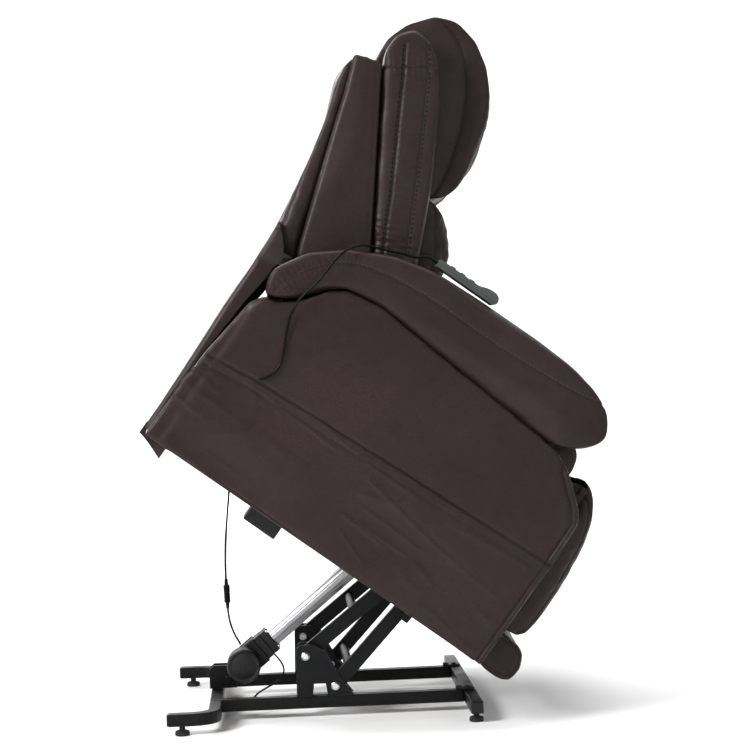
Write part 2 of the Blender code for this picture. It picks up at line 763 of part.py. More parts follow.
HANDSET_CORD = 0.005
HANDSET_ROUTE = [
    (0.2611, -0.3300, 0.6035),
    (0.2480, -0.3305, 0.6012),
    (0.2280, -0.3330, 0.5870),
    (0.2030, -0.3410, 0.5770),
    (0.1760, -0.3560, 0.5645),
    (0.1500, -0.3760, 0.5530),
    (0.1270, -0.3960, 0.5405),
    (0.1100, -0.4080, 0.5180),
    (0.1020, -0.4110, 0.4880),
    (0.1000, -0.4110, 0.4560),
    (0.0960, -0.4095, 0.4220),
    (0.0890, -0.4050, 0.3860),
    (0.0920, -0.3990, 0.3500),
    (0.1050, -0.3955, 0.3180),
    (0.1200, -0.3945, 0.2880),
    (0.1300, -0.3940, 0.2590),
    (0.1270, -0.3940, 0.2330),
    (0.1130, -0.3940, 0.2120),
]
LEAD = 0.0045
MOTOR_LEAD_ROUTE = [
    (-0.2884, -0.0500, 0.6386),
    (-0.2950, -0.0500, 0.6280),
    (-0.3000, -0.0500, 0.6050),
    (-0.3030, -0.0500, 0.5650),
    (-0.3055, -0.0500, 0.5150),
    (-0.3090, -0.0500, 0.4600),
    (-0.3145, -0.0500, 0.4100),
    (-0.3190, -0.0500, 0.3600),
    (-0.3210, -0.0500, 0.3150),
    (-0.3210, -0.0500, 0.2850),
    (-0.3200, -0.0500, 0.2500),
    (-0.3190, -0.0500, 0.2150),
    (-0.3150, -0.0500, 0.1880),
    (-0.3070, -0.0490, 0.1640),
    (-0.2990, -0.0475, 0.1490),
    (-0.2950, -0.0465, 0.1402),
]
CONNECTOR_ENDS = ((-0.3209, -0.0500, 0.2815), (-0.3191, -0.0500, 0.2185))
GEARBOX_LEAD = 0.004
GEARBOX_LEAD_ROUTE = [
    (-0.2239, -0.0200, 0.1127),
    (-0.2150, -0.0200, 0.1020),
    (-0.2075, -0.0202, 0.0895),
    (-0.2050, -0.0208, 0.0775),
    (-0.2085, -0.0225, 0.0665),
    (-0.2160, -0.0270, 0.0580),
    (-0.2290, -0.0370, 0.0515),
    (-0.2450, -0.0550, 0.0465),
    (-0.2600, -0.0780, 0.0415),
    (-0.2690, -0.1000, 0.0368),
    (-0.2770, -0.1170, 0.0330),
    (-0.2845, -0.1252, 0.0310),
    (-0.2921, -0.1262, 0.0305),
]


def cords(chair, base, rubber):
    cord("handset_cord", smooth_route(HANDSET_ROUTE, 0.012), HANDSET_CORD, chair, rubber)
    cord("motor_lead", smooth_route(MOTOR_LEAD_ROUTE, 0.011), LEAD, base, rubber)
    cord("gearbox_lead", smooth_route(GEARBOX_LEAD_ROUTE, 0.009), GEARBOX_LEAD, base, rubber)
    top, bottom = (Vector(p) for p in CONNECTOR_ENDS)
    length = (bottom - top).length
    bore = LEAD / 2 + 0.0012
    profile = [
        (0.0, bore),
        (0.0, 0.0042),
        (0.012, 0.0046),
        (0.014, 0.0068),
        (length - 0.014, 0.0068),
        (length - 0.012, 0.0046),
        (length, 0.0042),
        (length, bore),
        (0.0, bore),
    ]
    add("lead_connector", lathe(top, bottom - top, profile, 16), base, rubber, smooth=True)


# ---------------------------------------------------------------- assembly
def main():
    for obj in list(bpy.data.objects):
        bpy.data.objects.remove(obj)

    steel = material("powder_coat", (0.012, 0.012, 0.013), 0.35, 0.3)
    zinc = material("zinc", (0.62, 0.62, 0.60), 0.3, 1.0)
    aluminium = material("aluminium", (0.72, 0.73, 0.74), 0.28, 1.0)
    plastic = material("black_plastic", (0.018, 0.018, 0.019), 0.5)
    grey = material("handset_grey", (0.075, 0.080, 0.080), 0.45)
    key = material("button_rubber", (0.030, 0.032, 0.033), 0.6)
    rubber = material("cord_rubber", (0.010, 0.010, 0.010), 0.5)
    leather = material("leather", (0.050, 0.034, 0.032), 0.45)
    wood = material("plywood", (0.42, 0.30, 0.18), 0.6)

    base = Body("base_frame", (ORIGIN_X, 0.0))
    lower = Body("lower_link_axis", LOWER_PIVOT, (0.0, 0.0), -LOWER_ANGLE_DEG, base)
    upper = Body("upper_link_axis", UPPER_PIVOT, (0.0, 0.0), -UPPER_ANGLE_DEG, base)
    screw = Body("actuator_axis", MOTOR_PIVOT, (0.0, 0.0), -ACTUATOR_ANGLE_DEG, base)
    lift_point = polar(LOWER_PIVOT, LOWER_ANGLE_DEG, LOWER_LENGTH)
    chair = Body("chair_axis", lift_point, CHAIR_LOWER_PIVOT, TILT_DEG, base)
    back = Body("recline_axis", offset(RECLINE_PIVOT, CHAIR_LOWER_PIVOT), RECLINE_PIVOT, 0.0, chair)
    leg = Body("footrest_axis", offset(FOOTREST_PIVOT, CHAIR_LOWER_PIVOT), FOOTREST_PIVOT, 0.0, chair)

    base_rails(base, steel)
    rear_outriggers(base, steel)
    levelling_feet(base, rubber)
    pivot_brackets(base, steel)
    pivot_bolts(base, zinc)
    motor_bracket(base, steel)
    power_socket(base, plastic)
    links("lower", lower, LOWER_LENGTH, LOWER_LINK_Y, 0.045, LOWER_LINK_Y[0], steel)
    links("upper", upper, UPPER_LENGTH, UPPER_LINK_Y, 0.134, UPPER_LINK_Y[0], steel)
    actuator(screw, aluminium, plastic)
    actuator_rod(screw, zinc)
    frame_rails(chair, steel)
    cross_tubes(chair, steel)
    rod_bracket(chair, steel)
    control_box(chair, plastic)
    seat_boards(chair, wood)
    arms(chair, leather)
    seat_cushion(chair, leather)
    back_flap(chair, leather)
    backrest(back, leather)
    footrest(leg, leather)
    handset(chair, grey, key)
    cords(chair, base, rubber)


main()
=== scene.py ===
"""How the lift recliner chair looks: leather, metal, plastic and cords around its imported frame.

The chair proper is shaped level, in its own frame (metres, x forward and z up from the rear bottom
corner of the arms), and CHAIR then carries it to its raised place. The base is shaped where it stands.
"""

import json
import math

import bmesh
import bpy
import numpy as np
from mathutils import Matrix, Vector
from mathutils.bvhtree import BVHTree

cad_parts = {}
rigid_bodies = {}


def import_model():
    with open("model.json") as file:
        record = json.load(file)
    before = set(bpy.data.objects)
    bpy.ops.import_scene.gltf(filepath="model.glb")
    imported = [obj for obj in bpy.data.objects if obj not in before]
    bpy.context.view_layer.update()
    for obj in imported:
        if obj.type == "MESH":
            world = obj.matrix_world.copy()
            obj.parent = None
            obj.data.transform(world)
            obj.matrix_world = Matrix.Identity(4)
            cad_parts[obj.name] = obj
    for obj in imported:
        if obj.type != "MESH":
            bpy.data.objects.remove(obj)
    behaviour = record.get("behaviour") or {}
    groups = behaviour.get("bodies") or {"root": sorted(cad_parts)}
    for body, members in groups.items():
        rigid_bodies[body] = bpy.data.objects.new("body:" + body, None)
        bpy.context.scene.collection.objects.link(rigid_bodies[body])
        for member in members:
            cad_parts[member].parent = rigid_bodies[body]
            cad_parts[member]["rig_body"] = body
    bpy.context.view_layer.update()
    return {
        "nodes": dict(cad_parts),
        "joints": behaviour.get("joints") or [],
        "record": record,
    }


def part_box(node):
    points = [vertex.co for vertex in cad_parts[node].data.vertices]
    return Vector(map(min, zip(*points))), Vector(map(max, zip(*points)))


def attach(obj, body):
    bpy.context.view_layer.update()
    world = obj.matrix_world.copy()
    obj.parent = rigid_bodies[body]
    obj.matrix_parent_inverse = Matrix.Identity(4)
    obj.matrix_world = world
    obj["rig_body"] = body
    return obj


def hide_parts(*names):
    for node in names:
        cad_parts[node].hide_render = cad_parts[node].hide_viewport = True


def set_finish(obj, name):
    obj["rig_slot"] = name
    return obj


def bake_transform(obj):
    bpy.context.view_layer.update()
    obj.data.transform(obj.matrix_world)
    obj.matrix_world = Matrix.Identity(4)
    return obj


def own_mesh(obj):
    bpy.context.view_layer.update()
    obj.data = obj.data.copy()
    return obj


for leftover in list(bpy.data.objects):
    bpy.data.objects.remove(leftover)
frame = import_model()

JOINTS = {joint["name"]: joint for joint in frame["joints"]}
BASE_X = JOINTS["lift"]["pos_m"][0] + 0.100  # x = 0 of the base's own points, ahead of the lift pivot
TILT = math.radians(36.7)
CHAIR_PIVOT = (0.6428, 0.0, 0.1294)  # the lower links' pivot, in the chair's own frame
CHAIR = (
    Matrix.Translation(JOINTS["chair_tilt"]["pos_m"])
    @ Matrix.Rotation(TILT, 4, "Y")
    @ Matrix.Translation([-x for x in CHAIR_PIVOT])
)
ACTUATOR_PITCH = math.radians(39.0)
ACTUATOR = Matrix.Translation(JOINTS["actuator_swing"]["pos_m"]) @ Matrix.Rotation(-ACTUATOR_PITCH, 4, "Y")

SIM_FRAMES = 20
WAVES = 10  # sine waves in one random field
SEAM_GAP = 0.003  # puckers fade out this close to their seam


# ---------------------------------------------------------------- camera
def make_camera():
    """The side view: from the sitter's right, near seat height, looking along +Y."""
    yaw, pitch, roll = 0.056, -0.0145, -0.0335
    eye = (-0.215 + BASE_X, -4.145, 0.756)
    ahead = Vector((math.sin(yaw) * math.cos(pitch), math.cos(yaw) * math.cos(pitch), math.sin(pitch)))
    right = ahead.cross(Vector((0.0, 0.0, 1.0))).normalized()
    up = right.cross(ahead)
    rolled_right = math.cos(roll) * right + math.sin(roll) * up
    rolled_up = math.cos(roll) * up - math.sin(roll) * right
    data = bpy.data.cameras.new("camera")
    data.sensor_width = 36.0
    data.lens = 92.07
    data.clip_end = 100.0
    camera = bpy.data.objects.new("camera", data)
    bpy.context.scene.collection.objects.link(camera)
    turned = Matrix((rolled_right, rolled_up, -ahead)).transposed().to_4x4()
    camera.matrix_world = Matrix.Translation(eye) @ turned
    bpy.context.scene.camera = camera


# ---------------------------------------------------------------- node helpers
class Shader:
    """A Principled material that is built up from nodes in object space."""

    def __init__(self, name, roughness, metallic=0.0, **constants):
        self.material = bpy.data.materials.new(name)
        self.material.use_nodes = True
        self.tree = self.material.node_tree
        self.bsdf = self.tree.nodes["Principled BSDF"]
        self.bsdf.inputs["Roughness"].default_value = roughness
        self.bsdf.inputs["Metallic"].default_value = metallic
        for key, value in constants.items():
            self.bsdf.inputs[key.replace("_", " ")].default_value = value
        self.place = self.node("ShaderNodeTexCoord").outputs["Object"]

    def node(self, kind, **settings):
        made = self.tree.nodes.new(kind)
        for key, value in settings.items():
            setattr(made, key, value)
        return made

    def join(self, output, socket):
        self.tree.links.new(output, socket)

    def stretched(self, scale, turn=(0.0, 0.0, 0.0)):
        mapping = self.node("ShaderNodeMapping")
        mapping.inputs["Rotation"].default_value = turn
        mapping.inputs["Scale"].default_value = scale
        self.join(self.place, mapping.inputs["Vector"])
        return mapping.outputs["Vector"]

    def noise(self, scale, detail=3.0, rough=0.5, place=None):
        made = self.node("ShaderNodeTexNoise")
        made.inputs["Scale"].default_value = scale
        made.inputs["Detail"].default_value = detail
        made.inputs["Roughness"].default_value = rough
        self.join(place or self.place, made.inputs["Vector"])
        return made.outputs["Fac"]

    def cells(self, scale, feature="F1"):
        made = self.node("ShaderNodeTexVoronoi", feature=feature)
        made.inputs["Scale"].default_value = scale
        self.join(self.place, made.inputs["Vector"])
        return made.outputs["Distance"]

    def span(self, value, low, high, to_low=0.0, to_high=1.0):
        made = self.node("ShaderNodeMapRange")
        limits = {"From Min": low, "From Max": high, "To Min": to_low, "To Max": to_high}
        for key, number in limits.items():
            made.inputs[key].default_value = number
        self.join(value, made.inputs["Value"])
        return made.outputs["Result"]

    def combine(self, operation, a, b):
        made = self.node("ShaderNodeMath", operation=operation)
        for socket, value in zip(made.inputs, (a, b)):
            if isinstance(value, (int, float)):
                socket.default_value = value
            else:
                self.join(value, socket)
        return made.outputs["Value"]

    def blend(self, share, a, b):
        made = self.node("ShaderNodeMix", data_type="RGBA")
        sockets = [s for s in made.inputs if s.type == "RGBA"]
        for socket, value in zip(sockets, (a, b)):
            if isinstance(value, tuple):
                socket.default_value = (*value, 1.0)
            else:
                self.join(value, socket)
        self.join(share, made.inputs["Factor"])
        return next(s for s in made.outputs if s.type == "RGBA")

    def color(self, output):
        self.join(output, self.bsdf.inputs["Base Color"])

    def roughness(self, output):
        self.join(output, self.bsdf.inputs["Roughness"])

    def bump(self, height, strength, distance, under=None):
        made = self.node("ShaderNodeBump")
        made.inputs["Strength"].default_value = strength
        made.inputs["Distance"].default_value = distance
        self.join(height, made.inputs["Height"])
        if under:
            self.join(under, made.inputs["Normal"])
        self.join(made.outputs["Normal"], self.bsdf.inputs["Normal"])
        return made.outputs["Normal"]

    def edge_highlight_mask(self, radius):
        """From 0 on a face to 1 along a sharp edge; it marks where a highlight is painted."""
        rounded = self.node("ShaderNodeBevel", samples=4)
        rounded.inputs["Radius"].default_value = radius
        flat = self.node("ShaderNodeNewGeometry")
        dot = self.node("ShaderNodeVectorMath", operation="DOT_PRODUCT")
        self.join(rounded.outputs["Normal"], dot.inputs[0])
        self.join(flat.outputs["True Normal"], dot.inputs[1])
        return self.span(dot.outputs["Value"], 0.99, 0.80)


# ---------------------------------------------------------------- materials
def leather_material(name, dark, light):
    """Pebbled leather: grain cells, finer and broader bumps, mottled dye, and seams darkened by painted
    shade with some dirt.
    """
    made = Shader(name, 0.5, Specular_IOR_Level=0.16, Coat_Weight=0.05, Coat_Roughness=0.34)
    drift = made.noise(3.2, 4.0, 0.6)
    fine = made.noise(38.0, 3.0, 0.55)
    broad_share = made.span(drift, 0.35, 0.68, 0.0, 0.75)
    fine_share = made.span(fine, 0.3, 0.7, 0.0, 0.25)
    dyed = made.blend(made.combine("ADD", broad_share, fine_share), dark, light)
    pores = made.cells(430.0)
    pored = made.blend(made.span(pores, 0.30, 0.62, 0.0, 0.45), dyed, tuple(0.45 * c for c in dark))
    # Painted shade with some dirt: along the seam attribute the colour is taken down towards 0.22 of the
    # dark dye.
    seam = made.node("ShaderNodeAttribute", attribute_name="seam").outputs["Fac"]
    made.color(made.blend(made.span(seam, 0.0, 1.0, 0.0, 0.85), pored, tuple(0.22 * c for c in dark)))
    made.roughness(made.span(made.noise(60.0, 2.0), 0.25, 0.75, 0.40, 0.56))
    pebble = made.bump(made.cells(430.0, "SMOOTH_F1"), 0.28, 0.0005)
    creases = made.bump(made.noise(95.0, 4.0, 0.65), 0.22, 0.0012, pebble)
    made.bump(made.noise(22.0, 2.0), 0.12, 0.004, creases)
    return made.material


def powder_material():
    """Black powder coat: fine orange peel, and sharp edges coloured a patchy lighter grey as a painted
    highlight.
    """
    made = Shader("powder_coat", 0.38, Specular_IOR_Level=0.16)
    edges = made.edge_highlight_mask(0.0012)
    speck = made.noise(700.0, 2.0)
    patchy = made.span(made.noise(130.0, 3.0, 0.6), 0.42, 0.62, 0.15, 1.0)
    # Painted highlight: the sharp edges are coloured a lighter grey, in patches.
    painted_edge_highlight = made.combine("MULTIPLY", edges, patchy)
    made.color(made.blend(painted_edge_highlight, (0.0028, 0.0030, 0.0036), (0.045, 0.046, 0.048)))
    made.roughness(made.span(made.noise(24.0, 3.0), 0.3, 0.7, 0.30, 0.46))
    made.bump(speck, 0.18, 0.0004)
    return made.material


def zinc_material():
    """Bright zinc plate, cloudy and finely grained."""
    made = Shader("zinc", 0.3, 1.0)
    cloud = made.noise(90.0, 4.0, 0.6)
    made.color(made.blend(cloud, (0.46, 0.46, 0.45), (0.78, 0.78, 0.76)))
    made.roughness(made.span(made.noise(300.0, 3.0), 0.3, 0.7, 0.22, 0.42))
    made.bump(made.noise(900.0, 2.0), 0.10, 0.0003)
    return made.material


def aluminium_material():
    """Extruded aluminium: fine drawing lines along the actuator."""
    made = Shader("aluminium", 0.28, 1.0)
    along = made.stretched((3.0, 150.0, 150.0), (0.0, ACTUATOR_PITCH, 0.0))
    lines = made.noise(1.6, 2.0, 0.5, along)
    made.color(made.blend(lines, (0.36, 0.36, 0.37), (0.48, 0.48, 0.49)))
    made.roughness(made.span(lines, 0.3, 0.7, 0.36, 0.46))
    made.bump(made.noise(600.0, 2.0), 0.04, 0.0001)
    return made.material


def plastic_material(name, color, roughness, shine=0.25):
    """Moulded plastic with a fine spark-eroded grain."""
    made = Shader(name, roughness, Specular_IOR_Level=shine)
    lift = tuple(1.35 * c + 0.002 for c in color)
    made.color(made.blend(made.noise(45.0, 3.0), color, lift))
    made.roughness(made.span(made.noise(70.0, 3.0), 0.3, 0.7, roughness - 0.07, roughness + 0.09))
    made.bump(made.noise(1100.0, 2.0), 0.22, 0.0003)
    return made.material


def plywood_material():
    """Sanded plywood with a stretched grain."""
    made = Shader("plywood", 0.6)
    grain = made.noise(9.0, 5.0, 0.65, made.stretched((1.0, 9.0, 26.0), (0.0, TILT, 0.0)))
    made.color(made.blend(grain, (0.27, 0.17, 0.09), (0.52, 0.38, 0.23)))
    made.bump(grain, 0.2, 0.0006)
    return made.material


def thread_material(name, dark, light):
    """Twisted thread."""
    made = Shader(name, 0.8, Specular_IOR_Level=0.1)
    twist = made.noise(1500.0, 2.0)
    made.color(made.blend(twist, dark, light))
    made.bump(twist, 0.5, 0.0003)
    return made.material


def floor_material():
    """Pale matt floor, almost even."""
    made = Shader("pale_floor", 0.75)
    made.color(made.blend(made.noise(1.3, 2.0), (0.86, 0.86, 0.86), (0.89, 0.89, 0.89)))
    return made.material


SLOT_MATERIALS = {
    "leather": leather_material("leather", (0.0160, 0.0085, 0.0078), (0.0300, 0.0172, 0.0164)),
    "powder_coat": powder_material(),
    "zinc": zinc_material(),
    "aluminium": aluminium_material(),
    "black_plastic": plastic_material("black_plastic", (0.0060, 0.0060, 0.0065), 0.46),
    "handset_grey": plastic_material("handset_grey", (0.044, 0.050, 0.048), 0.46),
    "button_rubber": plastic_material("button_rubber", (0.020, 0.021, 0.022), 0.62),
    "cord_rubber": plastic_material("cord_rubber", (0.0022, 0.0022, 0.0022), 0.30, 0.08),
    "foot_rubber": plastic_material("foot_rubber", (0.009, 0.009, 0.009), 0.66),
    "plywood": plywood_material(),
}
DARK_THREAD = thread_material("dark_thread", (0.0025, 0.002, 0.002), (0.006, 0.005, 0.005))
TAN_THREAD = thread_material("tan_thread", (0.045, 0.025, 0.018), (0.085, 0.050, 0.036))


def finish_cad_nodes():
    """CAD nodes that still show take their slot's material; sharp edges of the steel are eased."""
    slots = {row["node"]: row["material_slot"] for row in frame["record"]["subparts"]}
    for name, obj in frame["nodes"].items():
        obj.data.materials.clear()
        obj.data.materials.append(SLOT_MATERIALS[slots[name]])
        if slots[name] == "powder_coat":
            add_bevel(obj, 0.0012, 2, 40.0)


# ---------------------------------------------------------------- mesh helpers
def link(name, mesh):
    obj = bpy.data.objects.new(name, mesh)
    bpy.context.scene.collection.objects.link(obj)
    return obj


def from_bmesh(name, bm, smooth_angle=35.0):
    bmesh.ops.recalc_face_normals(bm, faces=bm.faces)
    mesh = bpy.data.meshes.new(name)
    bm.to_mesh(mesh)
    bm.free()
    mesh.shade_smooth()
    mesh.set_sharp_from_angle(angle=math.radians(smooth_angle))
    return link(name, mesh)


def settle(obj, body, slot, matrix=None, material=None):
    """Carries a finished piece to its place, gives it its finish and lets it ride on a body."""
    if matrix:
        obj.data.transform(matrix)
    obj.data.materials.clear()
    obj.data.materials.append(material or SLOT_MATERIALS[slot])
    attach(obj, body)
    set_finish(obj, slot)
    return obj


def apply_modifiers(obj):
    graph = bpy.context.evaluated_depsgraph_get()
    mesh = bpy.data.meshes.new_from_object(obj.evaluated_get(graph))
    obj.modifiers.clear()
    old = obj.data
    obj.data = mesh
    bpy.data.meshes.remove(old)


def add_bevel(obj, width, segments, angle):
    step = obj.modifiers.new("Bevel", "BEVEL")
    step.width = width
    step.segments = segments
    step.limit_method = "ANGLE"
    step.angle_limit = math.radians(angle)
    step.harden_normals = True


def round_edges(obj, width, segments=3):
    add_bevel(obj, width, segments, 30.0)
    apply_modifiers(obj)


def prism(outline, low_y, high_y, bm=None):
    """A closed solid: an (x, z) outline pushed along Y."""
    bm = bm or bmesh.new()
    rings = [[bm.verts.new((x, y, z)) for x, z in outline] for y in (low_y, high_y)]
    bm.faces.new(rings[0])
    bm.faces.new(reversed(rings[1]))
    for i in range(len(outline)):
        j = (i + 1) % len(outline)
        bm.faces.new((rings[0][i], rings[1][i], rings[1][j], rings[0][j]))
    return bm


def about(middle, reach):
    return (middle - reach, middle + reach)


def weld(bm):
    """Joins the two ends of a closed profile where it was lathed."""
    bmesh.ops.remove_doubles(bm, verts=bm.verts, dist=1e-7)


def bored(bore, radius, length, chamfer, drop):
    """Profile of a ring or tube, with both outer edges cut back by chamfer along and drop in radius."""
    outside = [(0.0, radius - drop), (chamfer, radius), (length - chamfer, radius), (length, radius - drop)]
    return [(0.0, bore)] + outside + [(length, bore), (0.0, bore)]


def box(x, y, z, bm=None):
    return prism([(x[0], z[0]), (x[1], z[0]), (x[1], z[1]), (x[0], z[1])], y[0], y[1], bm)


def lathe(start, direction, profile, segments=48, radius_at=None, bm=None):
    """A turned surface from (distance, radius) points; radius 0 closes an end. radius_at may
    change a ring's radius by its angle, as grooves and ribs do."""
    axis = Vector(direction).normalized()
    side = axis.orthogonal().normalized()
    across = axis.cross(side)
    start = Vector(start)
    bm = bm or bmesh.new()
    rows = []
    for distance, radius in profile:
        centre = start + axis * distance
        if radius == 0.0:
            rows.append([bm.verts.new(centre)])
            continue
        ring = []
        for k in range(segments):
            turn = 2 * math.pi * k / segments
            r = radius_at(distance, radius, turn) if radius_at else radius
            ring.append(bm.verts.new(centre + r * (math.cos(turn) * side + math.sin(turn) * across)))
        rows.append(ring)
    for low, high in zip(rows, rows[1:]):
        for k in range(segments):
            n = (k + 1) % segments
            corners = [low[k % len(low)], low[n % len(low)], high[n % len(high)], high[k % len(high)]]
            bm.faces.new(list(dict.fromkeys(corners)))
    return bm


def random_field(points, size, seed):
    """A smooth random value, about -1 to 1, at each point; its bumps are about size wide."""
    rng = np.random.default_rng(seed)
    total = np.zeros(len(points))
    for _ in range(WAVES):
        direction = rng.normal(size=3)
        direction *= rng.uniform(0.6, 1.4) * math.pi / (size * np.linalg.norm(direction))
        total += np.sin(points @ direction + rng.uniform(0.0, 2 * math.pi))
    return total * 0.65 / math.sqrt(WAVES / 2)


def to_line(points, line):
    """(distance to a polyline, distance along it) for each point, in as many dimensions as it has."""
    best = np.full(len(points), np.inf)
    along = np.zeros(len(points))
    start = 0.0
    for a, b in zip(np.array(line, float), np.array(line, float)[1:]):
        run = b - a
        length = np.linalg.norm(run)
        share = np.clip((points - a) @ run / length**2, 0.0, 1.0)
        away = np.linalg.norm(points - a - share[:, None] * run, axis=1)
        nearer = away < best
        best[nearer] = away[nearer]
        along[nearer] = start + share[nearer] * length
        start += length
    return best, along


def smooth_step(values, low, high):
    """From 0 at low to 1 at high, eased at both ends."""
    t = np.clip((values - low) / (high - low), 0.0, 1.0)
    return t * t * (3.0 - 2.0 * t)


def smooth_route(points, spacing):
    """Catmull-Rom curve through set points, read at about even spacing."""
    points = [Vector(p) for p in points]
    padded = [2 * points[0] - points[1]] + points + [2 * points[-1] - points[-2]]
    route = []
    for a, b, c, d in zip(padded, padded[1:], padded[2:], padded[3:]):
        steps = max(1, round((c - b).length / spacing))
        for k in range(steps):
            t = k / steps
            square = (2 * a - 5 * b + 4 * c - d) * t**2
            cube = (3 * b - a - 3 * c + d) * t**3
            route.append(0.5 * (2 * b + (c - a) * t + square + cube))
    route.append(points[-1])
    return route


# ---------------------------------------------------------------- leather pieces
class Soft:
    """A leather piece on its way from a solid to a finished skin, in the chair's own frame."""

    def __init__(self, name, node, voxel=0.006, solid=None):
        if solid:
            mesh = bpy.data.meshes.new(name)
            bmesh.ops.recalc_face_normals(solid, faces=solid.faces)
            solid.to_mesh(mesh)
        else:
            mesh = frame["nodes"][node].data.copy()
            mesh.transform(CHAIR.inverted())
        self.node = node
        self.obj = link(name, mesh)
        co = self.points()
        self.low, self.high = co.min(0), co.max(0)
        self.modify("REMESH", mode="VOXEL", voxel_size=voxel)
        self.seam = np.zeros(0)

    def points(self):
        co = np.zeros(len(self.obj.data.vertices) * 3, np.float32)
        self.obj.data.vertices.foreach_get("co", co)
        return co.reshape(-1, 3).astype(float)

    def set_points(self, co):
        self.obj.data.vertices.foreach_set("co", co.astype(np.float32).ravel())
        self.obj.data.update()

    def normals(self):
        out = np.zeros(len(self.obj.data.vertices) * 3, np.float32)
        self.obj.data.vertices.foreach_get("normal", out)
        return out.reshape(-1, 3).astype(float)

    def push(self, amount):
        """Moves each point out along its normal; amount is one number or one for each point."""
        amounts = np.broadcast_to(amount, (len(self.obj.data.vertices),))
        self.set_points(self.points() + self.normals() * amounts[:, None])

    def modify(self, kind, **settings):
        step = self.obj.modifiers.new(kind, kind)
        for key, value in settings.items():
            setattr(step, key, value)
        apply_modifiers(self.obj)

    def relax(self, times):
        self.modify("SMOOTH", factor=0.5, iterations=times)

    def inflate(self, pressure=4.0, cap=0.024, stiffness=10.0, held=None):
        """Lets cloth simulation swell the skin, and keeps each point within cap of where it
        was."""
        rest = self.points()
        cloth = self.obj.modifiers.new("Cloth", "CLOTH")
        settings = cloth.settings
        settings.quality = 4
        settings.mass = 0.25
        settings.tension_stiffness = stiffness
        settings.compression_stiffness = stiffness
        settings.shear_stiffness = stiffness / 2
        settings.bending_stiffness = 0.5
        settings.use_pressure = True
        settings.uniform_pressure_force = pressure
        settings.effector_weights.gravity = 0.0
        if held is not None:
            group = self.obj.vertex_groups.new(name="held")
            for step in range(1, 11):
                chosen = np.nonzero(np.round(held * 10) == step)[0]
                group.add([int(i) for i in chosen], step / 10, "REPLACE")
            settings.vertex_group_mass = "held"
        for number in range(1, SIM_FRAMES + 1):
            bpy.context.scene.frame_set(number)
        apply_modifiers(self.obj)
        bpy.context.scene.frame_set(1)
        moved = self.points() - rest
        length = np.linalg.norm(moved, axis=1)
        self.set_points(rest + moved * (cap / np.maximum(length, cap))[:, None])

    def shape(self, times):
        """Relaxes the skin, scales it to its solid's box and refines it; returns its points."""
        self.relax(times)
        co = self.points()
        low, high = co.min(0), co.max(0)
        self.set_points(self.low + (co - low) * ((self.high - self.low) / (high - low)))
        self.modify("SUBSURF", levels=1, render_levels=1)
        self.seam = np.zeros(len(self.obj.data.vertices))
        return self.points()

    def side(self):
        """How far each point faces sideways, from 0 to 1."""
        return smooth_step(np.abs(self.normals()[:, 1]), 0.35, 0.75)

    def facing(self, direction, low=0.3, high=0.7):
        unit = np.array(direction, float) / np.linalg.norm(direction)
        return smooth_step(self.normals() @ unit, low, high)

    def crease(self, distance, mask, depth, width, dark=1.0):
        """Draws the skin in along a line, and paints shade with some dirt into it; dark sets how strong that
        painted shade is.
        """
        # Painted shade with some dirt, kept as the seam attribute.
        self.seam = np.maximum(self.seam, dark * mask * np.exp(-((distance / (0.55 * width)) ** 2)))
        self.push(-depth * mask * np.exp(-((distance / width) ** 2)))

    def gather(self, distance, along, mask, amount, spacing, reach, seed):
        """Small puckers that run away from a line."""
        jitter = random_field(np.column_stack((along, along * 0.3, along * 0)), spacing * 3, seed)
        wave = np.sin(2 * math.pi * along / spacing + 2.2 * jitter)
        pucker = amount * mask * wave * np.exp(-distance / reach)
        self.push(pucker * (1.0 - np.exp(-((distance / SEAM_GAP) ** 2))))

    def channels(self, across, places, along, mask, crease, pucker, seed):
        """Straight sewn lines, each drawn in and puckered."""
        for place in places:
            line = np.abs(across - place)
            self.crease(line, mask, *crease)
            self.gather(line, along, mask, *pucker, seed)

    def ripple(self, amount, size, seed, stretch=(1.0, 1.0, 1.0), mask=1.0):
        self.push(amount * mask * random_field(self.points() / np.array(stretch), size, seed))

    def folds(self, amount, size, seed, stretch=(1.0, 1.0, 1.0), mask=1.0):
        """Narrow raised wrinkles."""
        field = random_field(self.points() / np.array(stretch), size, seed)
        self.push(amount * mask * (1.0 - np.minimum(1.0, np.abs(field) * 2.2)) ** 2)

    def tree(self):
        mesh = self.obj.data
        polygons = [tuple(p.vertices) for p in mesh.polygons]
        return BVHTree.FromPolygons([v.co for v in mesh.vertices], polygons)

    def finish(self, body):
        """The last step: the painted seam shade, place and material."""
        mesh = self.obj.data
        mesh.shade_smooth()
        # The seam attribute holds the painted shade with some dirt that darkens the leather in its creases.
        seam = mesh.attributes.new("seam", "FLOAT", "POINT")
        seam.data.foreach_set("value", self.seam.astype(np.float32))
        settle(self.obj, body, "leather", CHAIR)
        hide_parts(self.node)
        return self.obj


def mirrored(obj, name, node=None):
    """The same piece for the other side of the chair."""
    mesh = obj.data.copy()
    mesh.transform(Matrix.Scale(-1.0, 4, (0.0, 1.0, 0.0)))
    mesh.flip_normals()
    copy = link(name, mesh)
    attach(copy, obj["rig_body"])
    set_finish(copy, obj["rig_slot"])
    if node:
        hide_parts(node)
    return copy


def plane_points(co):
    """The (x, z) of each point."""
    return co[:, [0, 2]]


def even_points(line, pitch):
    """Points along a polyline at an even pitch."""
    line = np.array(line, float)
    steps = np.linalg.norm(np.diff(line, axis=0), axis=1)
    total = np.concatenate([[0.0], np.cumsum(steps)])
    at = np.arange(pitch / 2, total[-1], pitch)
    return np.column_stack([np.interp(at, total, line[:, k]) for k in range(line.shape[1])])


def rounded_line(line, pitch=0.01):
    """A smooth curve through an outline's points."""
    flat = len(line[0]) == 2
    spread = [(p[0], 0.0, p[1]) if flat else p for p in line]
    route = smooth_route(spread, pitch)
    return [(p.x, p.z) for p in route] if flat else [tuple(p) for p in route]


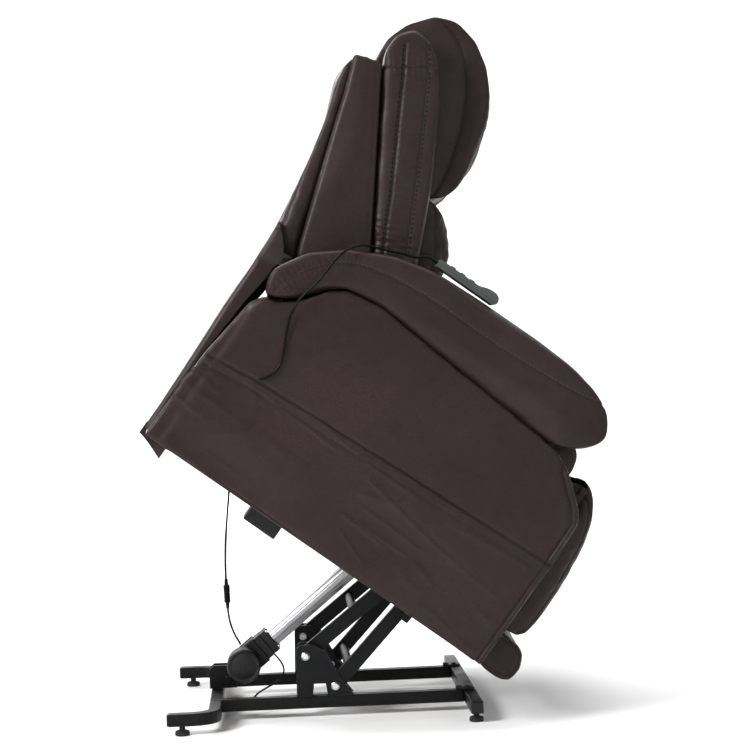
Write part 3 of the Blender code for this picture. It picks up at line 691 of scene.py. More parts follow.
def stitches(name, tree, rows, look, body, material, pitch=0.0085, size=0.00065, length=0.0052):
    """Thread showing between its holes: short capsules laid on the skin along each row. A row is a
    3-D line, and look is the way that it is dropped onto the skin."""
    look = Vector(look).normalized()
    verts, faces = [], []
    sides = 6
    for row in rows:
        hits = []
        for point in even_points(row, pitch):
            hit = tree.ray_cast(Vector(point) - look * 0.12, look)
            if hit[0]:
                hits.append((hit[0], hit[1]))
        for i, (place, normal) in enumerate(hits):
            ahead = hits[min(i + 1, len(hits) - 1)][0] - hits[max(i - 1, 0)][0]
            if ahead.length < 1e-6:
                continue
            along = (ahead - ahead.dot(normal) * normal).normalized()
            across = normal.cross(along)
            centre = place + normal * size * 0.25
            first = len(verts)
            for reach, radius in ((-0.5, 0.35), (-0.36, 1.0), (0.36, 1.0), (0.5, 0.35)):
                for k in range(sides):
                    turn = 2 * math.pi * k / sides
                    ring = math.cos(turn) * across + math.sin(turn) * normal
                    sink = normal * size * 0.9 * (abs(reach) > 0.4)
                    verts.append(centre + along * reach * length + ring * size * radius - sink)
            for ring in range(3):
                for k in range(sides):
                    a, b = first + ring * sides + k, first + ring * sides + (k + 1) % sides
                    faces.append((a, b, b + sides, a + sides))
            faces.append([first + k for k in reversed(range(sides))])
            faces.append([first + 3 * sides + k for k in range(sides)])
    mesh = bpy.data.meshes.new(name)
    mesh.from_pydata([tuple(v) for v in verts], [], faces)
    mesh.shade_smooth()
    return settle(link(name, mesh), body, "leather", CHAIR, material)


# ---------------------------------------------------------------- arms
HEM_LINE = [(-0.010, 0.196), (0.113, 0.210), (0.438, 0.224), (0.790, 0.239)]
HEM_BAND = 0.021
ARM_FRONT_EDGE = [
    (0.7, 0.45), (0.718, 0.408), (0.774, 0.36), (0.791, 0.335), (0.793, 0.235), (0.789, -0.01),
]
WELT_STRIP = 0.014
ARM_SEAM = [
    (0.04, 0.372), (0.048, 0.4), (0.066, 0.436), (0.092, 0.47), (0.132, 0.5), (0.18, 0.517),
    (0.24, 0.527), (0.32, 0.532), (0.44, 0.531), (0.56, 0.537), (0.64, 0.545), (0.7, 0.556),
]


def shifted(line, dx, dz):
    return [(x + dx, z + dz) for x, z in line]


def arm_panel():
    """Side of the arm: a smooth upper panel, a hemmed pocket edge, a looser lower panel, and a
    welted strip down the front."""
    soft = Soft("arm_panel_right", "arm_body_right", 0.0055)
    co = soft.shape(3)
    flat = plane_points(co)
    outer = soft.side() * (co[:, 1] < -0.33)
    hem, along = to_line(flat, HEM_LINE)
    hem_z = np.interp(co[:, 0], [p[0] for p in HEM_LINE], [p[1] for p in HEM_LINE])
    below = smooth_step(hem_z - co[:, 2], -0.0015, 0.0015)
    strip, _ = to_line(flat, shifted(ARM_FRONT_EDGE, -WELT_STRIP, -0.006))
    strip_behind = smooth_step(strip, 0.0, 0.012)
    rear = co[:, 0]

    soft.push(outer * 0.0025 * below)
    soft.crease(hem, outer, 0.0035, 0.0028)
    band = np.abs(hem_z - HEM_BAND - co[:, 2])
    soft.crease(band, outer * (1.0 - 0.6 * smooth_step(rear, 0.35, 0.7)), 0.0016, 0.0034, 0.55)
    soft.push(outer * 0.0018 * np.exp(-(((rear - 0.036) / 0.013) ** 2)))
    soft.push(-outer * 0.0016 * np.exp(-(((rear - 0.016) / 0.008) ** 2)))
    soft.crease(strip, outer, 0.0030, 0.0030)
    edge, _ = to_line(flat, shifted(ARM_FRONT_EDGE, -0.004, 0.0))
    soft.crease(edge, outer, 0.0022, 0.0026, 0.9)
    soft.push(outer * 0.0020 * np.exp(-(((strip - 0.006) / 0.004) ** 2)) * (edge < strip))
    upper = outer * (1.0 - below) * strip_behind
    lower = outer * below * strip_behind
    soft.ripple(0.0011, 0.16, 11, mask=upper)
    soft.ripple(0.0034, 0.070, 12, (4.0, 1.0, 1.0), lower)
    patches = smooth_step(random_field(co, 0.12, 14), -0.2, 0.6)
    soft.folds(0.0030, 0.034, 13, (7.0, 1.0, 1.0), lower * patches)
    patches = smooth_step(random_field(co, 0.09, 16), 0.0, 0.7)
    soft.folds(0.0022, 0.026, 15, (5.0, 1.0, 1.0), lower * patches)
    soft.gather(hem, along, outer * below, 0.0009, 0.030, 0.020, 17)
    inner = soft.side() * (co[:, 1] > -0.33)
    soft.ripple(0.0012, 0.12, 18, mask=inner)
    return soft.finish("chair")


def arm_roll():
    """The padded arm: one fat roll, seamed along its outer side."""
    soft = Soft("arm_roll_right", "arm_pad_right", 0.0065)
    soft.push(-0.008)
    flat = plane_points(soft.points())
    seam, _ = to_line(flat, ARM_SEAM)
    held = np.exp(-((seam / 0.010) ** 2)) * soft.side() * 0.8
    soft.inflate(3.0, 0.024, 14.0, held)
    co = soft.shape(22)
    outer = soft.facing((0, -1, 0.35), 0.1, 0.5)
    seam, along = to_line(plane_points(co), rounded_line(ARM_SEAM))
    soft.crease(seam, outer, 0.0022, 0.0032, 0.5)
    near_rear = 1.0 - smooth_step(along, 0.14, 0.30)
    soft.gather(seam, along, outer * (0.25 + 0.75 * near_rear), 0.0011, 0.011, 0.018, 21)
    soft.ripple(0.0016, 0.085, 22, (2.0, 1.0, 1.0))
    soft.ripple(0.0007, 0.030, 23, (1.6, 1.0, 1.0))
    tree = soft.tree()
    row = [(x, -0.46, z + 0.0028) for x, z in rounded_line(ARM_SEAM)]
    made = soft.finish("chair")
    thread = stitches("arm_stitches_right", tree, [row], (0, 1, 0), "chair", TAN_THREAD)
    return made, thread


# ---------------------------------------------------------------- backrest
WING_SEAM = [
    (-0.103, 0.858), (-0.076, 0.787), (-0.044, 0.688), (-0.011, 0.588), (0.03, 0.467), (0.058, 0.372),
]
WING_FRONT = [(-0.045, 0.876), (0.151, 0.552)]
BOLSTER_REAR_ROW = [
    (-0.03, 0.935), (-0.002, 0.889), (0.037, 0.818), (0.076, 0.748), (0.115, 0.677), (0.147, 0.613),
    (0.175, 0.56), (0.215, 0.48),
]
BOLSTER_FRONT_ROW = [
    (0.004, 0.962), (0.042, 0.908), (0.077, 0.846), (0.116, 0.775), (0.153, 0.703), (0.185, 0.64),
    (0.21, 0.592), (0.24, 0.52),
]
BOLSTER_CROSS = [(-0.060, 0.853), (-0.034, 0.871), (0.007, 0.903), (0.060, 0.945)]
PILLOW_SEAM = [
    (0.0, 1.03), (0.04, 1.02), (0.08, 0.995), (0.118, 0.949), (0.146, 0.9), (0.163, 0.86),
    (0.18, 0.805), (0.19, 0.755), (0.19, 0.728),
]
LUMBAR_SEAM = [
    (0.19, 0.722), (0.218, 0.695), (0.25, 0.65), (0.27, 0.61), (0.28, 0.56), (0.268, 0.51),
]
CUSHION_CHANNELS = (-0.135, 0.135)
CHANNEL_CREASE = (0.0045, 0.0060, 0.7)


def wing_shell():
    """Leather over the back's frame: flat side panels with a seam down their rear edge."""
    soft = Soft("back_wings", "back_shell", 0.0065)
    co = soft.shape(6)
    side = soft.side()
    seam, _ = to_line(plane_points(co), WING_SEAM)
    soft.crease(seam, side, 0.0020, 0.0040)
    front, _ = to_line(plane_points(co), WING_FRONT)
    soft.push(side * 0.0045 * smooth_step(seam, 0.0, 0.045) * smooth_step(front, 0.0, 0.045))
    soft.crease(np.abs(front - 0.010), side, 0.0012, 0.0035, 0.3)
    soft.ripple(0.0013, 0.10, 31, mask=side)
    soft.ripple(0.0006, 0.035, 32, (1.0, 1.0, 2.0), side)
    return soft.finish("backrest")


def outside_back():
    """The loose outer cover of the back, rounded over its padding."""
    soft = Soft("outside_back_cover", "outside_back", 0.0065)
    soft.inflate(1.5, 0.010, 16.0)
    co = soft.shape(6)
    rear = soft.facing((-1, 0, 0.3), 0.2, 0.6)
    for y in about(0.0, 0.232):
        soft.crease(np.abs(co[:, 1] - y), rear, 0.0018, 0.0030, 0.7)
    soft.ripple(0.0016, 0.14, 34, (1.0, 1.0, 1.8), rear)
    patches = smooth_step(random_field(co, 0.15, 36), 0.0, 0.7)
    soft.folds(0.0010, 0.05, 35, (1.0, 1.0, 3.0), rear * patches)
    return soft.finish("backrest")


def bolster():
    """Side bolster of the back: two sewn rows down its length, gathered at the foot."""
    soft = Soft("bolster_right", "side_bolster_right", 0.005)
    soft.push(-0.004)
    flat = plane_points(soft.points())
    rows = (BOLSTER_REAR_ROW, BOLSTER_FRONT_ROW)
    held = np.zeros(len(flat))
    for row in rows:
        near = np.exp(-((to_line(flat, row)[0] / 0.007) ** 2))
        held = np.maximum(held, near * 0.9 * soft.side())
    soft.inflate(3.5, 0.022, 12.0, held)
    co = soft.shape(4)
    flat = plane_points(co)
    outer = soft.facing((0, -1, 0), 0.15, 0.55)
    foot = smooth_step(0.640 - co[:, 2], 0.0, 0.06)
    for seed, (row, depth) in enumerate(zip(rows, (0.0030, 0.0018)), 41):
        seam, along = to_line(flat, rounded_line(row))
        soft.crease(seam, outer, depth, 0.0036, 0.8)
        soft.gather(seam, along, outer * (0.5 + foot), 0.0010, 0.013, 0.014, seed)
    cross, along = to_line(flat, BOLSTER_CROSS)
    soft.crease(cross, outer, 0.0024, 0.0028, 0.7)
    soft.gather(cross, along, outer, 0.0010, 0.012, 0.014, 44)
    soft.folds(0.0022, 0.022, 45, (1.0, 1.0, 0.5), outer * foot)
    soft.ripple(0.0010, 0.045, 46, mask=outer)
    tree = soft.tree()
    lines = []
    for row, dx in zip(rows, (-0.004, 0.004)):
        lines.append([(x + dx, -0.33, z + 0.4 * dx) for x, z in rounded_line(row)])
    made = soft.finish("backrest")
    look, thick = (0, 1, 0), (0.0095, 0.0011, 0.006)
    thread = stitches("bolster_stitches_right", tree, lines, look, "backrest", DARK_THREAD, *thick)
    return made, thread


def head_pillow():
    """Head pillow: a broad front roll with two channels, seamed to flatter side gussets."""
    soft = Soft("head_pillow_skin", "head_pillow", 0.0065)
    soft.push(-0.010)
    flat = plane_points(soft.points())
    held = np.exp(-((to_line(flat, PILLOW_SEAM)[0] / 0.008) ** 2)) * soft.side() * 0.9
    soft.inflate(3.0, 0.022, 12.0, held)
    co = soft.shape(12)
    side = soft.side()
    seam, along = to_line(plane_points(co), rounded_line(PILLOW_SEAM))
    soft.crease(seam, side, 0.0034, 0.0034)
    soft.gather(seam, along, side, 0.0005, 0.014, 0.012, 51)
    front = soft.facing((1, 0, 0.3), 0.2, 0.6)
    pucker = (0.0012, 0.020, 0.015)
    soft.channels(co[:, 1], CUSHION_CHANNELS, co[:, 2], front, CHANNEL_CREASE, pucker, 52)
    soft.ripple(0.0016, 0.075, 53)
    soft.ripple(0.0008, 0.028, 54, mask=side)
    return soft.finish("backrest")


def lumbar():
    """Lumbar cushion, with two sewn channels down its front."""
    soft = Soft("lumbar_skin", "lumbar_cushion", 0.0065)
    soft.push(-0.008)
    soft.inflate(3.5, 0.022, 12.0)
    co = soft.shape(2)
    side = soft.side()
    seam, along = to_line(plane_points(co), rounded_line(LUMBAR_SEAM))
    soft.crease(seam, side, 0.0028, 0.0032)
    soft.gather(seam, along, side, 0.0009, 0.014, 0.016, 61)
    front = soft.facing((1, 0, 0.2), 0.2, 0.6)
    pucker = (0.0012, 0.020, 0.020)
    soft.channels(co[:, 1], CUSHION_CHANNELS, co[:, 2], front, CHANNEL_CREASE, pucker, 62)
    soft.ripple(0.0020, 0.07, 63)
    return soft.finish("backrest")


def lower_back():
    """Narrow cushion between the lumbar cushion and the seat."""
    soft = Soft("lower_back_skin", "lower_back_cushion", 0.0065)
    soft.inflate(2.0, 0.010, 12.0)
    soft.shape(2)
    soft.ripple(0.0010, 0.06, 65)
    return soft.finish("backrest")


# ---------------------------------------------------------------- seat and footrest
SEAT_HALF = 0.262
SEAT_CHANNELS = (0.400, 0.560)
PAD_CHANNELS = (0.165, 0.255, 0.335)
FOOT_SIDE = [
    (0.79, 0.075), (0.84, 0.075), (0.856, 0.09), (0.863, 0.125), (0.863, 0.185), (0.859, 0.245),
    (0.852, 0.302), (0.845, 0.338), (0.833, 0.37), (0.814, 0.396), (0.794, 0.412), (0.778, 0.4185),
    (0.768, 0.4165), (0.768, 0.4075), (0.79, 0.4075),
]
FOOT_SIDE_SEAM = [
    (0.79, 0.392), (0.812, 0.376), (0.832, 0.335), (0.842, 0.29), (0.85, 0.2), (0.848, 0.11),
    (0.835, 0.088),
]
TOE_SIDE_SEAM = [
    (0.8, 0.062), (0.85, 0.06), (0.868, 0.045), (0.872, 0.02), (0.862, -0.002), (0.81, -0.004),
]


def seat():
    """Seat cushion with a welted front and two sewn channels."""
    soft = Soft("seat_skin", "seat_cushion", 0.0075)
    soft.push(-0.010)
    co = soft.points()
    top = smooth_step(soft.normals()[:, 2], 0.4, 0.8)
    held = np.exp(-((np.abs(co[:, 0] - SEAT_CHANNELS[1]) / 0.010) ** 2)) * top
    soft.inflate(4.0, 0.026, 10.0, held)
    co = soft.shape(6)
    top = soft.facing((0, 0, 1), 0.3, 0.7)
    crease, pucker = (0.0060, 0.0070, 0.7), (0.0014, 0.022, 0.025)
    soft.channels(co[:, 0], SEAT_CHANNELS, co[:, 1], top, crease, pucker, 71)
    front = soft.facing((1, 0, 0), 0.3, 0.7)
    welt = np.abs(co[:, 2] - 0.345)
    soft.crease(welt, front, 0.0040, 0.0040)
    soft.gather(welt, co[:, 1], front, 0.0011, 0.018, 0.018, 72)
    soft.push(-0.0040 * front * np.exp(-(((co[:, 2] - 0.402) / 0.016) ** 2)))
    soft.ripple(0.0024, 0.10, 73)
    return soft.finish("chair")


def footrest_pads():
    """Footrest pad with sewn channels, turned over the board's top edge, and the toe roll below it."""
    soft = Soft("footrest_skin", "footrest_pad", 0.0045, prism(FOOT_SIDE, -SEAT_HALF, SEAT_HALF))
    soft.push(-0.003)
    soft.inflate(1.5, 0.008, 16.0)
    co = soft.shape(6)
    front = soft.facing((1, 0, 0.2), 0.2, 0.6) * smooth_step(0.238 - np.abs(co[:, 1]), 0.0, 0.03)
    crease, pucker = (0.0045, 0.0055, 0.7), (0.0012, 0.020, 0.020)
    soft.channels(co[:, 2], PAD_CHANNELS, co[:, 1], front, crease, pucker, 81)
    side_line, _ = to_line(plane_points(co), rounded_line(FOOT_SIDE_SEAM))
    soft.crease(side_line, soft.side(), 0.0022, 0.0028, 0.8)
    soft.ripple(0.0012, 0.08, 82)
    pad = soft.finish("footrest")
    soft = Soft("toe_roll_skin", "toe_pad", 0.0055)
    soft.push(-0.003)
    soft.inflate(2.5, 0.012, 14.0)
    soft.shape(8)
    soft.ripple(0.0014, 0.05, 83)
    side_line, _ = to_line(plane_points(soft.points()), rounded_line(TOE_SIDE_SEAM))
    soft.crease(side_line, soft.side(), 0.0018, 0.0024, 0.8)
    return pad, soft.finish("footrest")


FLAP_REAR = [
    (-0.035, 0.497), (-0.0325, 0.465), (-0.0295, 0.43), (-0.0262, 0.38), (-0.0255, 0.3),
    (-0.0215, 0.19), (-0.0185, 0.09), (-0.0188, 0.004),
]
FLAP_RETURN_FRONT = [
    (-0.0075, 0.0), (-0.008, 0.032), (-0.011, 0.09), (-0.008, 0.19), (-0.003, 0.241), (0.003, 0.327),
    (0.009, 0.373), (0.0105, 0.411), (0.016, 0.43), (0.004, 0.455), (-0.0335, 0.497),
]
FLAP_WIDE, FLAP_NARROW = 0.345, 0.2655
FLAP_THICKNESS = 0.0022


def flap_section(x, z, steps):
    """One level of the flap, from its right front edge round the rear panel to its left front edge."""
    narrow = smooth_step(z, 0.400, 0.490)
    half = FLAP_WIDE + (FLAP_NARROW - FLAP_WIDE) * narrow
    front = np.interp(z, [p[1] for p in FLAP_RETURN_FRONT], [p[0] for p in FLAP_RETURN_FRONT])
    depth = front - x
    radius = min(0.010, depth)
    side = [(x + depth - (depth - radius) * t, half) for t in np.linspace(0.0, 1.0, 5)]
    turns = np.radians(np.linspace(15.0, 90.0, 6))
    side += [(x + radius * (1.0 - math.sin(t)), half - radius * (1.0 - math.cos(t))) for t in turns]
    rear = [(x, y) for y in np.linspace(-(half - radius), half - radius, steps)[1:-1]]
    right = [(a, -b) for a, b in side]
    return [(a, b, z) for a, b in right + rear + side[::-1]]


def hem_corner(sign):
    """Rows of points across a loose corner of the hem, which hangs forward under the arm."""
    rows = []
    for t in np.linspace(0.0, 1.0, 12):
        x, low = -0.0205 + 0.0605 * t, -0.006 - 0.021 * t**1.2
        high = -0.0010 + 0.0210 * (1.0 - smooth_step(t, 0.05, 0.19))
        y = sign * (0.3435 - 0.005 * math.sin(math.pi * t))
        rows.append([(x, y, z) for z in np.linspace(low, high, 5)])
    return rows


def sheet_faces(rows, first):
    """Quads between rows of points, all of one length, numbered from first."""
    columns = len(rows[0])
    starts = [first + i * columns + j for i in range(len(rows) - 1) for j in range(columns - 1)]
    return [(a, a + 1, a + columns + 1, a + columns) for a in starts]


def back_flap():
    """Thin leather cover that hangs from the foot of the back, with its sides turned forward."""
    route = even_points(rounded_line(FLAP_REAR, 0.004), 0.004)
    rows = [flap_section(x, z, 110) for x, z in route]
    faces = sheet_faces(rows, 0)
    co = np.array([p for row in rows for p in row])
    free = smooth_step(co[:, 2], 0.02, 0.12) * smooth_step(0.43 - co[:, 2], 0.0, 0.1)
    sag = 0.0010 + 0.0018 * random_field(co / np.array((1, 1, 2.5)), 0.09, 91)
    co[:, 0] -= free * smooth_step(FLAP_WIDE - np.abs(co[:, 1]), 0.0, 0.03) * sag
    co[:, 0] -= 0.0016 * np.exp(-(((co[:, 2] - 0.014) / 0.004) ** 2))
    for sign in (-1, 1):
        corner = hem_corner(sign)
        faces += sheet_faces(corner, len(co))
        co = np.vstack([co] + [np.array(row) for row in corner])
    mesh = bpy.data.meshes.new("back_flap_skin")
    mesh.from_pydata([tuple(v) for v in co], [], faces)
    obj = link("back_flap_skin", mesh)
    thick = obj.modifiers.new("Thickness", "SOLIDIFY")
    thick.thickness = FLAP_THICKNESS
    thick.offset = 0.0
    apply_modifiers(obj)
    obj.data.shade_smooth()
    obj.data.set_sharp_from_angle(angle=math.radians(50))
    obj.data.materials.clear()
    obj.data.materials.append(SLOT_MATERIALS["leather"])
    obj.data.transform(CHAIR)
    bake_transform(obj)
    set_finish(obj, "leather")
    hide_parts("back_flap")


# ---------------------------------------------------------------- actuator and motor
def motor():
    """Round motor can: a dished end face with a boss, a ribbed band, and a groove behind it."""
    low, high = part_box("motor")
    centre = (low + high) / 2
    length = high.y - low.y
    radius = (high.x - low.x) / 2
    profile = [(0.0, 0.0), (0.0, 0.003), (0.0012, 0.0036), (0.0014, 0.025), (0.0022, 0.0262)]
    profile += [(0.0022, 0.0276), (0.0014, 0.0288), (0.0008, radius - 0.0035), (0.0030, radius - 0.0012)]
    profile += [(0.0060, radius - 0.0002), (0.0180, radius - 0.0002), (0.0190, radius - 0.0014)]
    profile += [(0.0204, radius - 0.0014), (0.0214, radius - 0.0004), (0.0400, radius - 0.0004)]
    profile += [(0.0410, radius), (length - 0.001, radius), (length, radius - 0.001), (length, 0.0)]

    def ribs(distance, r, turn):
        return r - 0.0007 * (0.004 < distance < 0.0185) * (math.sin(24 * turn) > 0.3)

    obj = from_bmesh("motor_can", lathe((centre.x, low.y, centre.z), (0, 1, 0), profile, 96, ribs))
    settle(obj, "actuator_body", "black_plastic")
    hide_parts("motor")


GEARBOX_CASING = [
    (0.032, -0.018), (0.046, -0.0298), (0.0935, -0.0298), (0.0935, 0.0278), (0.04, 0.0278),
    (0.032, 0.02),
]


def gearbox():
    """Casing in two halves, an eye for the motor pin, and the screwed flange that grips the tube."""
    half = 0.0284
    bm = prism(GEARBOX_CASING, -half, -0.0006)
    prism(GEARBOX_CASING, 0.0006, half, bm)
    seam = [(x * 0.985 + 0.001, z * 0.97) for x, z in GEARBOX_CASING]
    prism(seam, -0.001, 0.001, bm)
    for y in about(0.0, 0.024):
        box((0.050, 0.0925), about(y, 0.002), (0.0270, 0.0299), bm)
    obj = from_bmesh("gearbox_casing", bm)
    round_edges(obj, 0.0018)
    settle(obj, "actuator_body", "black_plastic", ACTUATOR)
    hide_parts("gearbox")

    eye = lathe((0.0, -0.0112, 0.0), (0, 1, 0), bored(0.0057, 0.0114, 0.0224, 0.001, 0.0009), 40)
    weld(eye)
    box((0.0085, 0.036), (-0.0105, 0.0105), (-0.0095, 0.0095), eye)
    settle(from_bmesh("gearbox_eye", eye), "actuator_body", "black_plastic", ACTUATOR)

    bm = box((0.0945, 0.1100), (-0.0268, 0.0268), (-0.0268, 0.0268))
    box((0.1112, 0.1255), (-0.0262, 0.0262), (-0.0262, 0.0262), bm)
    box((0.1095, 0.1120), (-0.0245, 0.0245), (-0.0245, 0.0245), bm)
    flange = from_bmesh("tube_flange", bm)
    round_edges(flange, 0.0016)
    settle(flange, "actuator_body", "black_plastic", ACTUATOR)

    bm = bmesh.new()
    head = [(0.0, 0.0), (0.0, 0.0040), (0.0016, 0.0040), (0.0022, 0.0032)]
    socket = [(0.0022, 0.0017), (0.0008, 0.0015), (0.0008, 0.0)]
    for y in about(0.0, 0.0205):
        for z in about(0.0, 0.0205):
            lathe((0.1254, y, z), (1, 0, 0), head + socket, 24, bm=bm)
    settle(from_bmesh("flange_screws", bm), "actuator_body", "zinc", ACTUATOR)


def actuator_tube():
    """Extruded tube with narrow grooves along its length, and the plastic cap on its end."""
    low, high = 0.1263, 0.4497

    def flutes(_, r, turn):
        """Eight grooves, cut in the outside only."""
        away = [(math.degrees(turn) - at + 180) % 360 - 180 for at in range(22, 360, 45)]
        grooves = sum(math.exp(-((angle / 3.0) ** 2)) for angle in away)
        return r - 0.0011 * min(1.0, grooves) * (r > 0.015)

    bm = lathe((low, 0, 0), (1, 0, 0), bored(0.0116, 0.019, high - low, 0.0006, 0.0004), 180, flutes)
    weld(bm)
    obj = from_bmesh("actuator_extrusion", bm, 25.0)
    settle(obj, "actuator_body", "aluminium", ACTUATOR)
    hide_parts("actuator_tube")
    rim = [(0.0, 0.0188), (0.0, 0.0200), (0.0112, 0.0200), (0.0118, 0.0195), (0.0118, 0.0188), (0.0, 0.0188)]
    cap = lathe((high - 0.012, 0, 0), (1, 0, 0), rim, 48)
    weld(cap)
    settle(from_bmesh("tube_end_cap", cap), "actuator_body", "black_plastic", ACTUATOR)


# ---------------------------------------------------------------- base trim
def base_trim():
    """End plugs in the open tube ends, and the plastic clips where the rails meet the front bar."""
    bm = bmesh.new()
    low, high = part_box("front_bar")
    for end, out in ((low.y, -1), (high.y, 1)):
        span = sorted((end - out * 0.002, end + out * 0.0022))
        box((low.x + 0.0015, high.x - 0.0015), span, (low.z + 0.0015, high.z - 0.0015), bm)
    for side, out in (("right", -1), ("left", 1)):
        low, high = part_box(f"rear_outrigger_{side}")
        outer = low.y if out < 0 else high.y
        y = sorted((outer - out * 0.0015, outer - out * 0.0235))
        box((low.x - 0.0022, low.x + 0.002), y, (low.z + 0.0015, high.z - 0.0015), bm)
    plugs = from_bmesh("tube_end_plugs", bm)
    round_edges(plugs, 0.0008)
    settle(plugs, "base", "black_plastic")

    bm = bmesh.new()
    bar_low, bar_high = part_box("front_bar")
    rear, top = bar_low.x, bar_high.z
    rivet = [(0.0, 0.0), (0.0, 0.0058), (0.0022, 0.0052), (0.0034, 0.0030), (0.0034, 0.0)]
    for side in ("right", "left"):
        low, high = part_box(f"rail_{side}")
        middle = (low.y + high.y) / 2
        box((rear - 0.010, bar_high.x - 0.004), about(middle, 0.010), (top + 0.0002, top + 0.0042), bm)
        box((rear - 0.016, rear - 0.004), about(middle, 0.007), (top + 0.0002, top + 0.0075), bm)
        lathe((rear + 0.008, middle, top + 0.0040), (0, 0, 1), rivet, 24, bm=bm)
    clips = from_bmesh("rail_clips", bm)
    round_edges(clips, 0.0008)
    settle(clips, "base", "black_plastic")


def bracket_fillets():
    """Weld beads where the pivot brackets stand on the rails."""
    rng = np.random.default_rng(5)
    pitch = 0.0028
    bm = bmesh.new()
    for side, sign in (("right", -1), ("left", 1)):
        low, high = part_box(f"pivot_bracket_{side}")
        for x0, x1 in ((low.x + 0.002, low.x + 0.031), (high.x - 0.050, high.x - 0.002)):
            for k in range(int((x1 - x0) / pitch)):
                x = x0 + (k + 0.5) * pitch
                wobble = rng.uniform(-0.0003, 0.0003)
                at = Matrix.Translation((x, sign * 0.1640, low.z + 0.0004 + wobble))
                bmesh.ops.create_icosphere(bm, subdivisions=2, radius=0.0021, matrix=at)
    obj = from_bmesh("bracket_welds", bm)
    settle(obj, "base", "powder_coat")


# ---------------------------------------------------------------- handset
HANDSET_SIDE = [
    (0.2712, 0.595), (0.406, 0.595), (0.412, 0.6), (0.4132, 0.606), (0.41, 0.6135), (0.402, 0.6182),
    (0.39, 0.6185), (0.378, 0.6165), (0.369, 0.6128), (0.362, 0.6112), (0.2712, 0.6112),
]
HANDSET_Y = (-0.3545, -0.3055)
BUTTON_X = (0.303, 0.326, 0.349)
BUTTON_Y = -0.330


def handset():
    """Handset shell in two halves, with rims round its keys, ribs on its nose and a strain relief."""
    lower = [(x, min(z, 0.6012)) for x, z in HANDSET_SIDE[:4]] + [(0.2712, 0.6012)]
    upper = [(0.2716, 0.6018), (0.4128, 0.6018)] + HANDSET_SIDE[3:]
    bm = prism(lower, *HANDSET_Y)
    prism(upper, *HANDSET_Y, bm)
    inner = [(0.2722, 0.5990), (0.4110, 0.5990), (0.4110, 0.6040), (0.2722, 0.6040)]
    prism(inner, HANDSET_Y[0] + 0.0007, HANDSET_Y[1] - 0.0007, bm)
    shell = from_bmesh("handset_shell", bm)
    round_edges(shell, 0.0019, 4)
    settle(shell, "chair", "handset_grey", CHAIR)
    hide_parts("handset")

    bm = bmesh.new()
    rim = [(0.0, 0.0067), (0.0, 0.0092), (0.0012, 0.0090), (0.0016, 0.0080), (0.0012, 0.0070), (0.0, 0.0067)]
    for x in BUTTON_X:
        lathe((x, BUTTON_Y, 0.6108), (0, 0, 1), rim, 40, bm=bm)
    for k in range(6):
        x = 0.372 + 0.0052 * k
        top = float(np.interp(x, [0.369, 0.378, 0.390, 0.402], [0.6128, 0.6165, 0.6185, 0.6182]))
        box((x, x + 0.0022), (-0.349, -0.311), (top - 0.003, top + 0.0007), bm)
    weld(bm)
    settle(from_bmesh("handset_rims", bm), "chair", "button_rubber", CHAIR)

    profile = [(0.0, 0.0), (0.0, 0.0029), (0.0050, 0.0036), (0.0052, 0.0030), (0.0070, 0.0031)]
    profile += [(0.0072, 0.0038), (0.0104, 0.0042), (0.0104, 0.0)]
    relief = lathe((0.2613, BUTTON_Y, 0.6035), (1, 0, 0), profile, 32)
    settle(from_bmesh("strain_relief", relief), "chair", "cord_rubber", CHAIR)


def buttons():
    """Three soft domed keys, each on its own slide."""
    profile = [(0.0, 0.0), (0.0, 0.0062), (0.0046, 0.0062), (0.0056, 0.0056), (0.0062, 0.0044)]
    profile += [(0.0060, 0.0028), (0.0056, 0.0)]
    for number, x in enumerate(BUTTON_X, 1):
        obj = from_bmesh(f"button_{number}_key", lathe((x, BUTTON_Y, 0.6087), (0, 0, 1), profile, 40))
        settle(obj, f"button_{number}", "button_rubber", CHAIR)
        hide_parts(f"handset_button_{number}")


# ---------------------------------------------------------------- cords
HANDSET_CORD = 0.005
HANDSET_ROUTE = [
    (0.2611, -0.33, 0.6035), (0.248, -0.3305, 0.6012), (0.228, -0.333, 0.587), (0.203, -0.341, 0.577),
    (0.176, -0.356, 0.5645), (0.15, -0.376, 0.553), (0.127, -0.396, 0.5405), (0.11, -0.408, 0.518),
    (0.102, -0.411, 0.488), (0.1, -0.411, 0.456), (0.096, -0.4095, 0.422), (0.089, -0.405, 0.386),
    (0.092, -0.399, 0.35), (0.105, -0.3955, 0.318), (0.12, -0.3945, 0.288), (0.13, -0.394, 0.259),
    (0.127, -0.394, 0.233), (0.113, -0.394, 0.212),
]
LEAD = 0.0045
MOTOR_LEAD_ROUTE = [
    (-0.2884, -0.05, 0.6386), (-0.295, -0.05, 0.628), (-0.3, -0.05, 0.605), (-0.303, -0.05, 0.565),
    (-0.3055, -0.05, 0.515), (-0.309, -0.05, 0.46), (-0.3145, -0.05, 0.41), (-0.319, -0.05, 0.36),
    (-0.321, -0.05, 0.315), (-0.321, -0.05, 0.285), (-0.32, -0.05, 0.25), (-0.319, -0.05, 0.215),
    (-0.315, -0.05, 0.188), (-0.307, -0.049, 0.164), (-0.299, -0.0475, 0.149),
    (-0.295, -0.0465, 0.1402),
]
CONNECTOR_ENDS = ((-0.3209, -0.0500, 0.2815), (-0.3191, -0.0500, 0.2185))
GEARBOX_LEAD = 0.004
